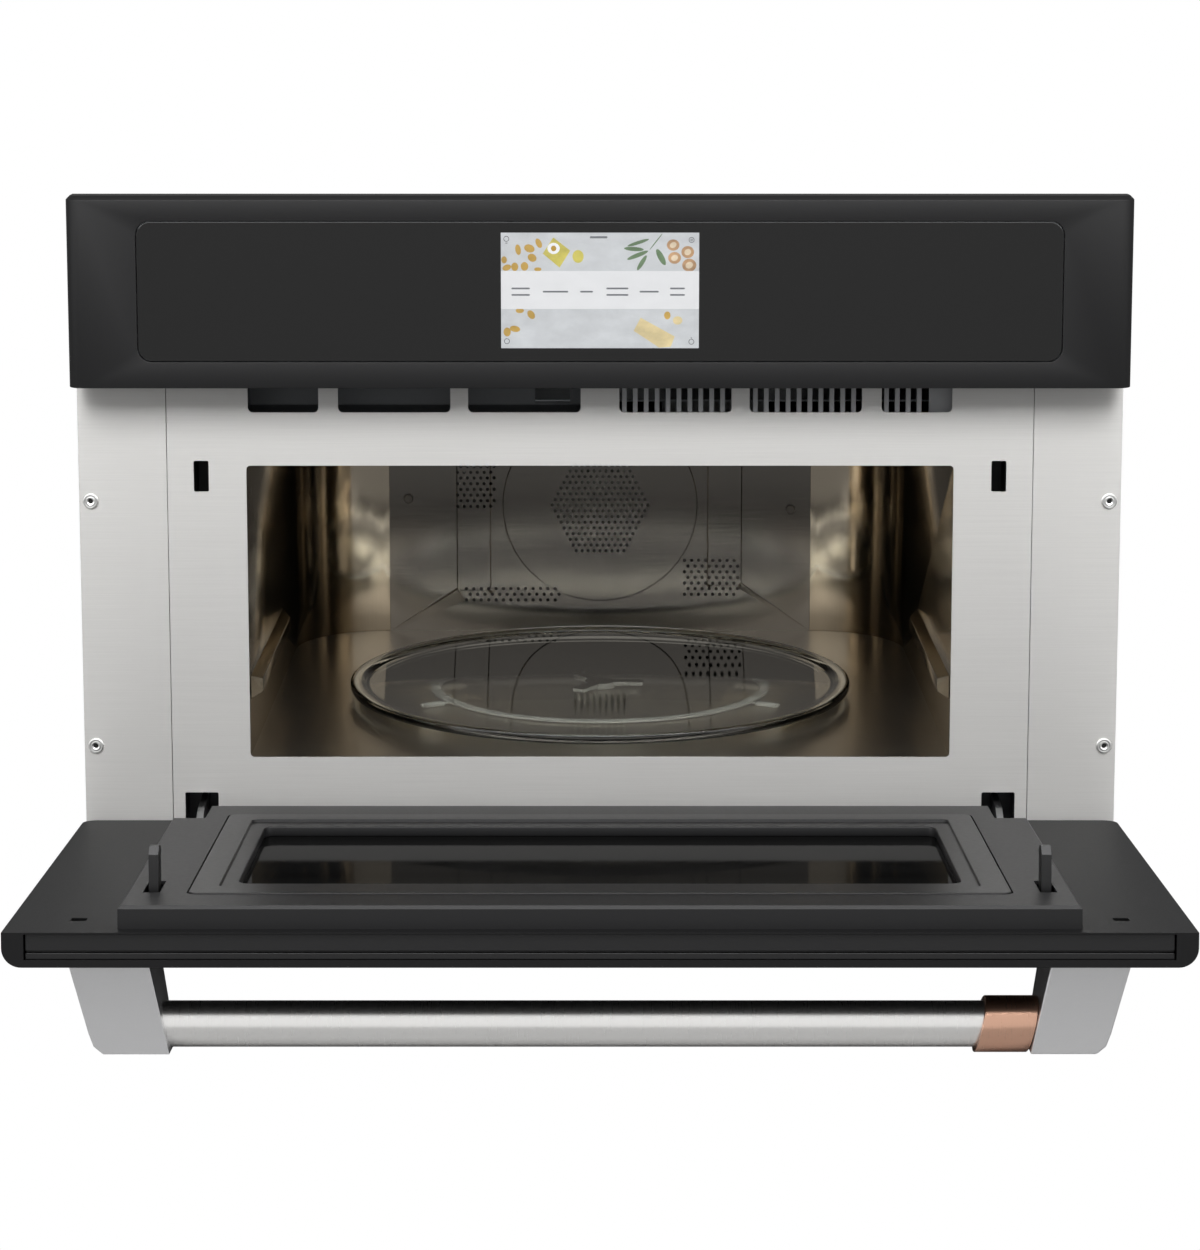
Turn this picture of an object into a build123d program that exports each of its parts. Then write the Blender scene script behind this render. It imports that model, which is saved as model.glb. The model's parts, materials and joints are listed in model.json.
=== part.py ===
from build123d import *
import os

# A 30 inch built-in high-speed oven: a drop-down door with a bar handle, a wide touch-glass
# control panel, and a stainless cavity with a turntable, a fan oven behind a perforated
# guard, quartz lamps and a microwave feed above.
# Millimetres. X runs to the viewer's right, Y into the oven, Z up. The sizes below count
# from the front of the mounting frame (Y) and its lower edge (Z). At the end the model is
# moved down so that the row's origin is the middle of the four cabinet screws.

# The sizes that drive the rest: the cavity, the depth of the body and the control panel.
CAVITY_WIDTH = 512.6
CAVITY_LOW = 70.7
CAVITY_HEIGHT = 216.4
BODY_DEPTH = 546.0
REAR_SPACE = 97.0
PANEL_HEIGHT = 136.8
SHEET = 1.0
PIN_GAP = 0.05

# Oven cavity.
CAVITY_HIGH = CAVITY_LOW + CAVITY_HEIGHT
CAVITY_MID = CAVITY_LOW + CAVITY_HEIGHT / 2
CAVITY_DEPTH = BODY_DEPTH - REAR_SPACE
CAVITY_SHEET = 1.2
CAVITY_REAR_R = 75.0
OPENING_R = 3.0
LEDGE_RISE = 50.0
LEDGE_HEIGHT = 18.0
LEDGE_PROUD = 8.0
LEDGE_START = 10.0
LEDGE_END = 256.0

# Latch and hinge slots in the frame, placed from the choke round the door's window.
CHOKE_OVERLAP = 8.7
CHOKE_WIDTH = CAVITY_WIDTH + 2 * CHOKE_OVERLAP
LATCH_X = CHOKE_WIDTH / 2 + 24.0
LATCH_SLOT_WIDTH = 10.8
LATCH_SLOT_HIGH = CAVITY_HIGH + 3.5
LATCH_SLOT_LOW = LATCH_SLOT_HIGH - 22.6
HINGE_X = LATCH_X + 3.5
HINGE_SLOT_WIDTH = 24.4
HINGE_SLOT_LOW = 6.0
HINGE_SLOT_HIGH = 44.0
SLOT_R = 1.2

# Vent slots under the control panel: centre and width of the three on each side.
VENT_LOW = CAVITY_HIGH + 38.9
VENT_HIGH = VENT_LOW + 21.0
VENT_R = 3.6
VENTS = [(54.6, 81.3), (148.7, 81.2), (229.0, 51.0)]
FIN_PITCH = 7.9
FIN_WIDTH = 3.3
FIN_DEPTH = 8.0

# Mounting frame, side trims and their screw bushings.
FRAME_SHEET = 1.5
FRAME_WIDTH = 2 * (HINGE_X + 21.0)
FRAME_TOP = VENT_HIGH + 4.0
FRAME_RETURN = 12.0
PANEL_LOW = FRAME_TOP - 2.0
FRONT_WIDTH = FRAME_WIDTH + 128.6
FRONT_HEIGHT = PANEL_LOW + PANEL_HEIGHT
TRIM_GAP = 0.4
TRIM_TOP = FRONT_HEIGHT - 7.8
SCREW_SPACING_X = FRONT_WIDTH - 16.8
SCREW_SPACING_Z = 181.8
SCREW_MID_Z = 170.2
SCREW_HOLE_R = 1.8
BUSHING_R = 5.8
BUSHING_NECK_R = 3.4
BUSHING_HEAD = 1.6

# Body and its two runners.
BODY_WIDTH = FRONT_WIDTH - 39.6
BODY_TOP = FRONT_HEIGHT - 45.8
BODY_FLOOR_Z = 10.0
PAN_LIP = 32.0
RUNNER_WIDTH = 40.0
RUNNER_INSET = 83.0
RUNNER_END = 40.0
CONDUIT_R = 11.0

# Control panel.
PANEL_FRONT = 40.0
PANEL_BACK = 19.0
PANEL_WALL = 2.0
PANEL_EDGE_R = 10.0
PANEL_TOP_R = 3.0
GLASS_WIDTH = FRONT_WIDTH - 100.6
GLASS_LOW = PANEL_LOW + 19.2
GLASS_HIGH = FRONT_HEIGHT - 18.4
GLASS_R = 10.0
GLASS_THICK = 3.0
GLASS_SINK = 0.8
GLASS_GAP = 0.4
SCREEN_WIDTH = 140.2
SCREEN_LOW = GLASS_LOW + 9.2
SCREEN_HIGH = GLASS_HIGH - 7.6

# Door, described closed. Its pan lies between DOOR_FRONT and DOOR_BACK ahead of the frame.
DOOR_LOW = 1.5
DOOR_HIGH = PANEL_LOW - 3.0
DOOR_BACK = 17.0
DOOR_THICK = 22.5
DOOR_FRONT = DOOR_BACK + DOOR_THICK
DOOR_SHEET = 1.2
DOOR_SIDE_R = 12.5
DOOR_FOOT_R = 10.0
DOOR_OPEN_DEG = 86.7
TOP_TRIM_INSET = 15.0
TOP_TRIM_HEIGHT = 14.0
HINGE_Y = -DOOR_BACK - 9.0
HINGE_Z = 17.5
LINER_WIDTH = 2 * (LATCH_X + 16.4)
LINER_LOW = 21.0
LINER_HIGH = DOOR_HIGH - 9.0
LINER_FACE = 2.0
LINER_SHEET = 1.2
LINER_EDGE = 2.0
NOTCH_HIGH = 66.0
NOTCH_WIDTH = 24.0
CHOKE_LOW = CAVITY_LOW - 15.7
CHOKE_HIGH = CAVITY_HIGH + 15.9
CHOKE_R = 6.0
CHOKE_GAP = 1.2
CHOKE_FLANGE = 6.0
CHOKE_PROUD = 0.6
GROOVE_INSET = 17.5
GROOVE_WIDTH = CHOKE_WIDTH - 36.0
GROOVE_LOW = CHOKE_LOW + GROOVE_INSET
GROOVE_HIGH = CHOKE_HIGH - GROOVE_INSET
WINDOW_WIDTH = GROOVE_WIDTH - 21.0
WINDOW_LOW = GROOVE_LOW + GROOVE_INSET
WINDOW_HIGH = GROOVE_HIGH - GROOVE_INSET
WINDOW_R = 8.0
WINDOW_SINK = 4.0
OUTER_WINDOW_WIDTH = CHOKE_WIDTH - 10.0
OUTER_WINDOW_LOW = CHOKE_LOW + 7.0
OUTER_WINDOW_HIGH = WINDOW_HIGH - 6.0
OUTER_WINDOW_R = 10.0
OUTER_GLASS = 4.0

# Handle, carried on the door's outer face.
BAR_R = 14.7
BAR_STANDOFF = 45.0
BAR_Z = DOOR_HIGH - 34.0
BAR_SOCKET = 6.0
BRACKET_ROOT_OUT = FRONT_WIDTH / 2 - 39.3
BRACKET_WIDTH = 51.3
BRACKET_LEAN = 13.0
BRACKET_PROUD = 60.0
BRACKET_HIGH = DOOR_HIGH - 15.0
BRACKET_LOW = BRACKET_HIGH - 55.0
COLLAR_R = 18.0
COLLAR_LENGTH = 34.0
COLLAR_GAP = 0.3

# Latch hooks, hinge arms and pins.
HOOK_THICK = 6.4
HOOK_PIVOT_Y = -DOOR_BACK - 10.0
HOOK_PIVOT_Z = LATCH_SLOT_LOW + 12.0
HOOK_PIN_R = 2.5
HOOK_LENGTH = 52.0
ARM_THICK = 5.0
ARM_EYE_R = 8.5
PIN_R = 4.0
CHEEK_THICK = 2.5
CHEEK_GAP = 1.0
CHEEK_LOW = 12.0
CHEEK_HIGH = 60.0

# Turntable.
TRAY_R = CAVITY_DEPTH / 2 - 26.5
TRAY_Y = CAVITY_DEPTH / 2 - 14.5
TRAY_TOP = CAVITY_LOW + 13.3
TRAY_PLATE = 3.2
TRAY_RIM = 13.0
TRAY_RIM_HEIGHT = 7.6
ROLLER_R = 3.5
ROLLER_LENGTH = 17.0
ROLLER_RING_R = TRAY_R - 48.0
ROLLER_PIN_R = 1.2
ROLLERS = 3
RUN_GAP = 0.15
SHAFT_R = 4.0
COUPLER_R = 12.0

# Fan oven behind the cavity, and the guard in front of it.
FAN_Z = CAVITY_MID + 2.1
RING_R = CAVITY_HEIGHT / 2 - 10.2
RING_WIRE_R = 3.3
FAN_R = RING_R - 22.0
FAN_BLADES = 12
FAN_WIDTH = 20.0
FAN_HUB_R = 9.0
INLET_R = 28.0
HOUSING_DEPTH = 46.0
HOUSING_HALF = RING_R + 30.0
GUARD_RINGS = 8
GUARD_PITCH = 5.15
GUARD_ROW = 4.98
GUARD_HOLE = 2.9
GUARD_EMBOSS_R = CAVITY_HEIGHT / 2 - 24.2
GUARD_SCREW_R = 2.1

# Service deck above the cavity and what stands on it.
DECK_Z = CAVITY_HIGH + 37.9
DECK_SHEET = 1.5
DECK_FRONT = 64.0
DECK_TOP = DECK_Z + DECK_SHEET
ROOF_Y = CAVITY_DEPTH / 2 + 5.5
LAMP_X = -95.0
LAMP_HALF_X = 105.0
LAMP_HALF_Y = 80.0
LAMP_R = 5.0
FEED_X = 90.0
FEED_HALF = 42.0
FEED_WALL = 1.5
TUBE_Y = ROOF_Y + 78.0
TUBE_R = 9.0
BLOWER_X = 123.0 - BODY_WIDTH / 2
BLOWER_Y = BODY_DEPTH - 246.0
BLOWER_R = (BODY_TOP - DECK_Z) / 2 - 19.5
BLOWER_WIDTH = 60.0
BLOWER_BLADES = 18
CORE_X = BODY_WIDTH / 2 - 113.0
CORE_Y = BODY_DEPTH - 216.0
CORE_HEIGHT = 82.0

half_front = FRONT_WIDTH / 2
half_body = BODY_WIDTH / 2
half_frame = FRAME_WIDTH / 2
half_cavity = CAVITY_WIDTH / 2
rear_half = half_cavity - CAVITY_REAR_R
guard_screws = [(16.3 - rear_half, FAN_Z + 5.8), (rear_half - 17.3, FAN_Z - 3.5)]
parts = {}


def block(x0, x1, y0, y1, z0, z1):
    """A box between two opposite corners."""
    middle = Pos((x0 + x1) / 2, (y0 + y1) / 2, (z0 + z1) / 2)
    return middle * Box(abs(x1 - x0), abs(y1 - y0), abs(z1 - z0))


def rod_x(x0, x1, y, z, r):
    """A round bar along X."""
    return Pos((x0 + x1) / 2, y, z) * Rot(0, 90, 0) * Cylinder(r, abs(x1 - x0))


def rod_y(x, y0, y1, z, r):
    """A round bar along Y."""
    return Pos(x, (y0 + y1) / 2, z) * Rot(90, 0, 0) * Cylinder(r, abs(y1 - y0))


def rod_z(x, y, z0, z1, r):
    """A round bar along Z."""
    return Pos(x, y, (z0 + z1) / 2) * Cylinder(r, abs(z1 - z0))


def slab_y(x_mid, width, low, high, y0, y1, corner):
    """A plate with rounded corners that faces along Y."""
    outline = Plane.XZ * RectangleRounded(width, high - low, corner)
    plate = extrude(outline, abs(y1 - y0))
    return Pos(x_mid, max(y0, y1), (low + high) / 2) * plate


def in_yz(points, x0, x1):
    """A flat outline drawn in the YZ plane and made solid from x0 to x1."""
    wire = Polyline([(0, y, z) for y, z in points], close=True)
    return Pos(x0, 0, 0) * extrude(make_face(wire), x1 - x0, dir=(1, 0, 0))


def in_xy(points, z0, z1):
    """A flat outline drawn in the XY plane and made solid from z0 to z1."""
    wire = Polyline([(x, y, 0) for x, y in points], close=True)
    return Pos(0, 0, z0) * extrude(make_face(wire), z1 - z0, dir=(0, 0, 1))


def mirrored(solid):
    """The same piece on the other side of the oven."""
    return mirror(solid, about=Plane.YZ)


def both_sides(solid):
    """A piece and its mirror image, kept as separate solids."""
    return Compound(children=[solid, mirrored(solid)])


def group(solids):
    """Separate solids that share one node."""
    return Compound(children=list(solids))


# Mounting frame: one stainless sheet with the oven opening and all the slots.
frame = block(-half_frame, half_frame, 0, FRAME_SHEET, 0, FRAME_TOP)
frame += block(-half_frame, half_frame, 0, FRAME_RETURN, 0, FRAME_SHEET)
frame += block(-half_frame, half_frame, 0, FRAME_RETURN, FRAME_TOP - FRAME_SHEET, FRAME_TOP)
frame -= slab_y(0, CAVITY_WIDTH, CAVITY_LOW, CAVITY_HIGH, -1, FRAME_RETURN, OPENING_R)
for side in (-1, 1):
    for vent_x, vent_width in VENTS:
        frame -= slab_y(side * vent_x, vent_width, VENT_LOW, VENT_HIGH, -1, FRAME_RETURN - 1, VENT_R)
    frame -= slab_y(side * LATCH_X, LATCH_SLOT_WIDTH, LATCH_SLOT_LOW, LATCH_SLOT_HIGH, -1, FRAME_RETURN,
                    SLOT_R)
    frame -= slab_y(side * HINGE_X, HINGE_SLOT_WIDTH, HINGE_SLOT_LOW, HINGE_SLOT_HIGH, -1, FRAME_RETURN,
                    SLOT_R)
parts["face_frame"] = frame

# Side trims: flanges that cover the cabinet's edge, each with two screw holes.
trim_in = half_frame + TRIM_GAP
trim = block(trim_in, half_front, 0, FRAME_SHEET, 0, TRIM_TOP)
trim += block(trim_in, trim_in + FRAME_SHEET, 0, FRAME_RETURN, 0, TRIM_TOP)
screw_x = SCREW_SPACING_X / 2
screw_zs = [SCREW_MID_Z - SCREW_SPACING_Z / 2, SCREW_MID_Z + SCREW_SPACING_Z / 2]
for screw_z in screw_zs:
    trim -= rod_y(screw_x, -1, FRAME_SHEET + 1, screw_z, BUSHING_NECK_R)
parts["side_trim_right"] = trim
parts["side_trim_left"] = mirrored(trim)

# Screw bushings: a round head on the trim and a neck through its hole.
bushings = []
for screw_z in screw_zs:
    head = rod_y(screw_x, -BUSHING_HEAD, 0, screw_z, BUSHING_R)
    neck = rod_y(screw_x, 0, FRAME_SHEET + 2, screw_z, BUSHING_NECK_R - PIN_GAP)
    hole = rod_y(screw_x, -BUSHING_HEAD - 1, FRAME_SHEET + 3, screw_z, SCREW_HOLE_R)
    bushing = head + neck - hole
    bushings += [bushing, mirrored(bushing)]
parts["mounting_bushings"] = group(bushings)

# Control panel: a painted shell with a window for the touch glass.
panel = block(-half_front, half_front, -PANEL_FRONT, -PANEL_BACK, PANEL_LOW, FRONT_HEIGHT)
upright = panel.edges().filter_by(Axis.Z).group_by(Axis.Y)[0]
panel = fillet(upright, PANEL_EDGE_R)
top_edges = panel.faces().sort_by(Axis.Z)[-1].edges().group_by(Axis.Y)[0]
panel = chamfer(top_edges, PANEL_TOP_R)
inside = block(
    -half_front + PANEL_EDGE_R, half_front - PANEL_EDGE_R,
    -PANEL_FRONT + PANEL_WALL, 0, PANEL_LOW + PANEL_WALL, FRONT_HEIGHT - PANEL_WALL - PANEL_TOP_R)
panel -= inside
recess = slab_y(
    0, GLASS_WIDTH + 2 * GLASS_GAP, GLASS_LOW - GLASS_GAP, GLASS_HIGH + GLASS_GAP,
    -PANEL_FRONT - 1, 0, GLASS_R)
parts["control_fascia"] = panel - recess

glass_front = -PANEL_FRONT + GLASS_SINK
glass_back = glass_front + GLASS_THICK
parts["touch_glass"] = slab_y(0, GLASS_WIDTH, GLASS_LOW, GLASS_HIGH, glass_front, glass_back, GLASS_R)

# Panel chassis: a folded tray that carries the fascia, the glass and the electronics.
chassis_half = half_front - PANEL_EDGE_R - 2
chassis_low = PANEL_LOW + PANEL_WALL + 1
chassis_high = FRONT_HEIGHT - PANEL_WALL - PANEL_TOP_R - 1
chassis_back = -0.1
chassis = block(
    -chassis_half, chassis_half, -PANEL_FRONT + PANEL_WALL, chassis_back, chassis_low, chassis_high)
chassis -= block(
    -chassis_half + SHEET, chassis_half - SHEET, glass_back + 2, chassis_back - SHEET,
    chassis_low + SHEET, chassis_high - SHEET)
chassis -= slab_y(
    0, GLASS_WIDTH + 2 * GLASS_GAP, GLASS_LOW - GLASS_GAP, GLASS_HIGH + GLASS_GAP,
    -PANEL_FRONT, glass_back, GLASS_R)
module_half = SCREEN_WIDTH / 2 + 8
module_low = SCREEN_LOW - 5
module_high = SCREEN_HIGH + 4
module_back = glass_back + 8
chassis -= block(-module_half, module_half, glass_back - 1, glass_back + 3, module_low, module_high)
parts["panel_chassis"] = chassis
parts["display_module"] = block(
    -module_half, module_half, glass_back, module_back, module_low, module_high)

# Control board behind the display, with its larger parts: place along X and size of each.
board_half = 110.0
board_thick = 1.6
chip_height = 9.0
chips = [(-80, 22), (-40, 16), (5, 30), (60, 18), (90, 14)]
board_back = module_back + board_thick
board = block(-board_half, board_half, module_back, board_back, module_low - 8, module_high + 6)
chip_low = module_low + 20
for chip_x, chip_size in chips:
    board += block(chip_x - chip_size / 2, chip_x + chip_size / 2, board_back, board_back + chip_height,
                   chip_low, chip_low + chip_size)
parts["control_board"] = board

# Vent outlets: a finned grille on the right and a plain duct on the left.
duct_margin = 6.0
duct_low = VENT_LOW - 4
duct_high = FRAME_TOP - FRAME_SHEET
duct_in = VENTS[0][0] - VENTS[0][1] / 2 - duct_margin
duct_out = VENTS[2][0] + VENTS[2][1] / 2 + duct_margin
grille_wall = 3.0
grille_lip = 2.0
blank_width = 22.0
grille_front = FRAME_SHEET + 1.5
grille_back = grille_front + FIN_DEPTH
grille = block(duct_in, duct_out, FRAME_SHEET, grille_back, duct_low, duct_high)
grille -= block(duct_in + grille_wall, duct_out - grille_wall, FRAME_SHEET - 1, grille_back + 1,
                duct_low + grille_lip, duct_high - grille_lip)
first_fin = duct_in + 8
fin_low = duct_low + grille_lip / 2
fin_high = duct_high - grille_lip / 2
fin_count = int((duct_out - blank_width - 2 - duct_in) // FIN_PITCH)
for fin in range(fin_count):
    fin_x = first_fin + fin * FIN_PITCH
    grille += block(fin_x, fin_x + FIN_WIDTH, grille_front, grille_back, fin_low, fin_high)
grille += block(duct_out - blank_width, duct_out - 2, grille_back - 1.5, grille_back, fin_low, fin_high)
parts["vent_grille"] = grille
duct_back = DECK_FRONT - 2
duct = block(-duct_out, -duct_in, FRAME_SHEET, duct_back, duct_low, duct_high)
duct -= block(-duct_out + SHEET, -duct_in - SHEET, FRAME_SHEET - 1, duct_back - SHEET, duct_low + SHEET,
              duct_high - SHEET)
duct_outlet = block(-48, -22, duct_back - 8, duct_back + 2, duct_low + 3, duct_high - 3)
parts["air_duct"] = duct - duct_outlet

# Body: a wrap over the sides and top, with louvres over the blower.
wrap = block(-half_body, half_body, FRAME_SHEET, BODY_DEPTH - SHEET, BODY_FLOOR_Z, BODY_TOP)
wrap -= block(-half_body + SHEET, half_body - SHEET, 0, BODY_DEPTH, 0, BODY_TOP - SHEET)
trim_fold_in = trim_in - TRIM_GAP
trim_fold_out = trim_in + FRAME_SHEET + TRIM_GAP
for side in (-1, 1):
    wrap -= block(side * trim_fold_in, side * trim_fold_out, 0, FRAME_RETURN + TRIM_GAP, 0, FRONT_HEIGHT)
louvre_height = 5.0
side_louvres = 6
for row in range(side_louvres):
    louvre_z = DECK_Z + 20 + 12 * row
    wrap -= block(-half_body - 1, half_body + 1, BODY_DEPTH - 146, BODY_DEPTH - 76,
                  louvre_z, louvre_z + louvre_height)
parts["outer_wrap"] = wrap

# Base pan: a shallow tray on two pressed runners.
pan_half = half_body - SHEET
pan_front = FRAME_RETURN + TRIM_GAP
pan = block(-pan_half, pan_half, pan_front, BODY_DEPTH - SHEET, BODY_FLOOR_Z, BODY_FLOOR_Z + PAN_LIP)
pan -= block(-pan_half + SHEET, pan_half - SHEET, -1, BODY_DEPTH - 2 * SHEET, BODY_FLOOR_Z + SHEET,
             BODY_FLOOR_Z + PAN_LIP + 1)
runner_out = half_body - RUNNER_INSET
runner_in = runner_out - RUNNER_WIDTH
runner_back = BODY_DEPTH - RUNNER_END
runner_chamfer = 6.0
hollow_end = RUNNER_END + runner_chamfer + 2
runner = block(runner_in, runner_out, RUNNER_END, runner_back, 0, BODY_FLOOR_Z + SHEET)
runner = chamfer(runner.faces().sort_by(Axis.Z)[0].edges().filter_by(Axis.X), runner_chamfer)
runner_hollow = block(runner_in + SHEET, runner_out - SHEET, hollow_end, BODY_DEPTH - hollow_end, SHEET,
                      BODY_FLOOR_Z + 2 * SHEET)
runner -= runner_hollow
pan = pan - runner_hollow - mirrored(runner_hollow) + runner + mirrored(runner)
parts["base_pan"] = pan

# Rear panel: louvres, the hole for the conduit, and the terminal box behind that hole.
rear = block(-half_body, half_body, BODY_DEPTH - SHEET, BODY_DEPTH, BODY_FLOOR_Z, BODY_TOP)
conduit_x = half_body - 58
conduit_z = BODY_TOP - 40
rear -= rod_y(conduit_x, BODY_DEPTH - 2 * SHEET, BODY_DEPTH + 1, conduit_z, CONDUIT_R)
louvre_half = 22.0
rear_rows = 5
rear_columns = 6
for row in range(rear_rows):
    for column in range(rear_columns):
        louvre_x = 60 * column - 150
        louvre_z = DECK_Z + 25 + 14 * row
        rear -= block(louvre_x - louvre_half, louvre_x + louvre_half, BODY_DEPTH - 2 * SHEET,
                      BODY_DEPTH + 1, louvre_z, louvre_z + louvre_height)
box_half_x = 38.0
box_half_z = 30.0
box_depth = 52.0
terminal_box = block(conduit_x - box_half_x, conduit_x + box_half_x, BODY_DEPTH - box_depth,
                     BODY_DEPTH - SHEET, conduit_z - box_half_z, conduit_z + box_half_z)
terminal_box -= block(conduit_x - box_half_x + SHEET, conduit_x + box_half_x - SHEET,
                      BODY_DEPTH - box_depth + SHEET, BODY_DEPTH, conduit_z - box_half_z + SHEET,
                      conduit_z + box_half_z - SHEET)
parts["rear_panel"] = rear + terminal_box

# Service deck: the shelf above the cavity, cut out for the waveguide and the blower's outlet.
deck_half = half_body - SHEET
deck = block(-deck_half, deck_half, DECK_FRONT, BODY_DEPTH - SHEET, DECK_Z, DECK_TOP)
deck -= block(FEED_X - FEED_HALF - 4, FEED_X + FEED_HALF + 4, ROOF_Y - 54, ROOF_Y + 150, DECK_Z - 1,
              DECK_TOP + 1)
deck -= block(BLOWER_X - 20, BLOWER_X + 20, BLOWER_Y - 120, BLOWER_Y - 60, DECK_Z - 1, DECK_TOP + 1)
parts["service_deck"] = deck

# Cavity: one bent wrapper makes both side walls and the large rear corners.
arc_y = CAVITY_DEPTH - CAVITY_REAR_R


def wrapper_face(grow):
    """Plan outline of the cavity, enlarged by grow."""
    w = half_cavity + grow
    r = CAVITY_REAR_R + grow
    d = CAVITY_DEPTH + grow
    lines = Line((-w, FRAME_SHEET), (-w, arc_y))
    lines += RadiusArc((-w, arc_y), (-rear_half, d), r)
    lines += Line((-rear_half, d), (rear_half, d))
    lines += RadiusArc((rear_half, d), (w, arc_y), r)
    lines += Line((w, arc_y), (w, FRAME_SHEET))
    lines += Line((w, FRAME_SHEET), (-w, FRAME_SHEET))
    return make_face(lines)


wrapper = Pos(0, 0, CAVITY_LOW) * extrude(wrapper_face(CAVITY_SHEET), CAVITY_HEIGHT)
wrapper -= Pos(0, 0, CAVITY_LOW - 1) * extrude(wrapper_face(0), CAVITY_HEIGHT + 2)
wrapper -= block(-rear_half, rear_half, CAVITY_DEPTH - 5, CAVITY_DEPTH + 5, 0, FRONT_HEIGHT)
ledge_z = CAVITY_LOW + LEDGE_RISE
ledge_mid = (LEDGE_START + LEDGE_END) / 2
ledge_length = LEDGE_END - LEDGE_START
ledge = loft([
    Plane.YZ.offset(half_cavity) * Pos(ledge_mid, ledge_z) * Rectangle(ledge_length, LEDGE_HEIGHT),
    Plane.YZ.offset(half_cavity - LEDGE_PROUD) * Pos(ledge_mid - 3, ledge_z)
    * Rectangle(ledge_length - 24, LEDGE_HEIGHT - 8)])
wrapper += ledge + mirrored(ledge)
parts["cavity_shell"] = wrapper

# Cavity floor with the drive's hole, and ceiling with the feed opening and the lamp slots.
floor = Pos(0, 0, CAVITY_LOW - CAVITY_SHEET) * extrude(wrapper_face(CAVITY_SHEET), CAVITY_SHEET)
floor -= rod_z(0, TRAY_Y, CAVITY_LOW - 5, CAVITY_LOW + 5, SHAFT_R + 3)
parts["cavity_floor"] = floor
ceiling = Pos(0, 0, CAVITY_HIGH) * extrude(wrapper_face(CAVITY_SHEET), CAVITY_SHEET)
ceiling -= block(FEED_X - 36, FEED_X + 36, ROOF_Y - 26, ROOF_Y + 26, CAVITY_HIGH - 1, CAVITY_HIGH + 5)
lamp_rows = 5
lamp_columns = 8
for row in range(lamp_rows):
    for column in range(lamp_columns):
        slot_x = LAMP_X + 25 * (column - (lamp_columns - 1) / 2)
        slot_y = ROOF_Y + 30 * (row - (lamp_rows - 1) / 2)
        ceiling -= block(slot_x - 9, slot_x + 9, slot_y - 7, slot_y + 7, CAVITY_HIGH - 1, CAVITY_HIGH + 5)
parts["cavity_ceiling"] = ceiling

# Rear guard: the pressed back wall, with a hexagon of holes over the fan and three smaller fields.
guard = block(-rear_half, rear_half, CAVITY_DEPTH, CAVITY_DEPTH + CAVITY_SHEET, CAVITY_LOW, CAVITY_HIGH)
guard += rod_y(0, CAVITY_DEPTH - 1, CAVITY_DEPTH + CAVITY_SHEET, FAN_Z, GUARD_EMBOSS_R)
punch = extrude(Plane.XZ * RegularPolygon(GUARD_HOLE / 2, 6), 10)
centres = []
for row in range(-GUARD_RINGS, GUARD_RINGS + 1):
    count = 2 * GUARD_RINGS + 1 - abs(row)
    for column in range(count):
        centres.append(((column - (count - 1) / 2) * GUARD_PITCH, FAN_Z + row * GUARD_ROW))
# Each field: first hole, columns and their pitch, rows going up, counted from the fan's centre.
fields = [(-122.6, -1.1, 6, 5.72, 8), (-115.5, -83.2, 13, 6.4, 3), (73.0, -78.3, 8, 6.1, 7)]
for field_x, field_z, columns, pitch, rows in fields:
    for row in range(rows):
        for column in range(columns):
            stagger = pitch / 2 * (row % 2)
            centres.append((field_x + pitch * column + stagger, FAN_Z + field_z + GUARD_ROW * row))
guard -= [Pos(hole_x, CAVITY_DEPTH + 5, hole_z) * punch for hole_x, hole_z in centres]
for screw_hole_x, screw_hole_z in guard_screws:
    guard -= rod_y(screw_hole_x, CAVITY_DEPTH - 2, CAVITY_DEPTH + 3, screw_hole_z, GUARD_SCREW_R)
parts["rear_guard"] = guard

# Fan oven: its housing behind the guard and the ring heater with two leads.
back = CAVITY_DEPTH + CAVITY_SHEET
housing_low = CAVITY_LOW + 4.3
housing_high = CAVITY_HIGH - 2.1
housing_back = back + HOUSING_DEPTH
housing_r = 30.0
housing = slab_y(0, 2 * HOUSING_HALF, housing_low, housing_high, back, housing_back, housing_r)
housing -= slab_y(0, 2 * (HOUSING_HALF - SHEET), housing_low + SHEET, housing_high - SHEET, back - 1,
                  housing_back - SHEET, housing_r - SHEET)
housing -= rod_y(0, housing_back - 5, housing_back + 5, FAN_Z, FAN_HUB_R)
parts["convection_housing"] = housing
ring_y = back + 24
ring = Pos(0, ring_y, FAN_Z) * Rot(90, 0, 0) * Torus(RING_R, RING_WIRE_R)
for lead_x in (-14, 14):
    ring += rod_y(lead_x, ring_y, housing_back - SHEET, FAN_Z + RING_R - 1, RING_WIRE_R)
parts["ring_heater"] = ring

# Radial fan with its inlet ring, on the shaft of the motor behind the housing.
fan_front = back + 12
fan_back = fan_front + FAN_WIDTH
disc_thick = 1.5
blade_thick = 1.6
blade_in = INLET_R - 8
fan = rod_y(0, fan_back - disc_thick, fan_back, FAN_Z, FAN_R)
fan += rod_y(0, fan_front, fan_back + 2, FAN_Z, FAN_HUB_R)
fan += rod_y(0, fan_back, housing_back + 10, FAN_Z, SHAFT_R)
blade = block(blade_in, FAN_R - 1, fan_front, fan_back, -blade_thick / 2, blade_thick / 2)
for index in range(FAN_BLADES):
    fan += Pos(0, 0, FAN_Z) * Rot(0, 360 / FAN_BLADES * index, 0) * blade
inlet_ring = rod_y(0, fan_front, fan_front + 3, FAN_Z, INLET_R)
fan += inlet_ring - rod_y(0, fan_front - 1, fan_front + 4, FAN_Z, INLET_R - 4)
parts["convection_fan"] = fan
motor_r = 34.0
motor = rod_y(0, housing_back, BODY_DEPTH - 6, FAN_Z, motor_r)
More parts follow.
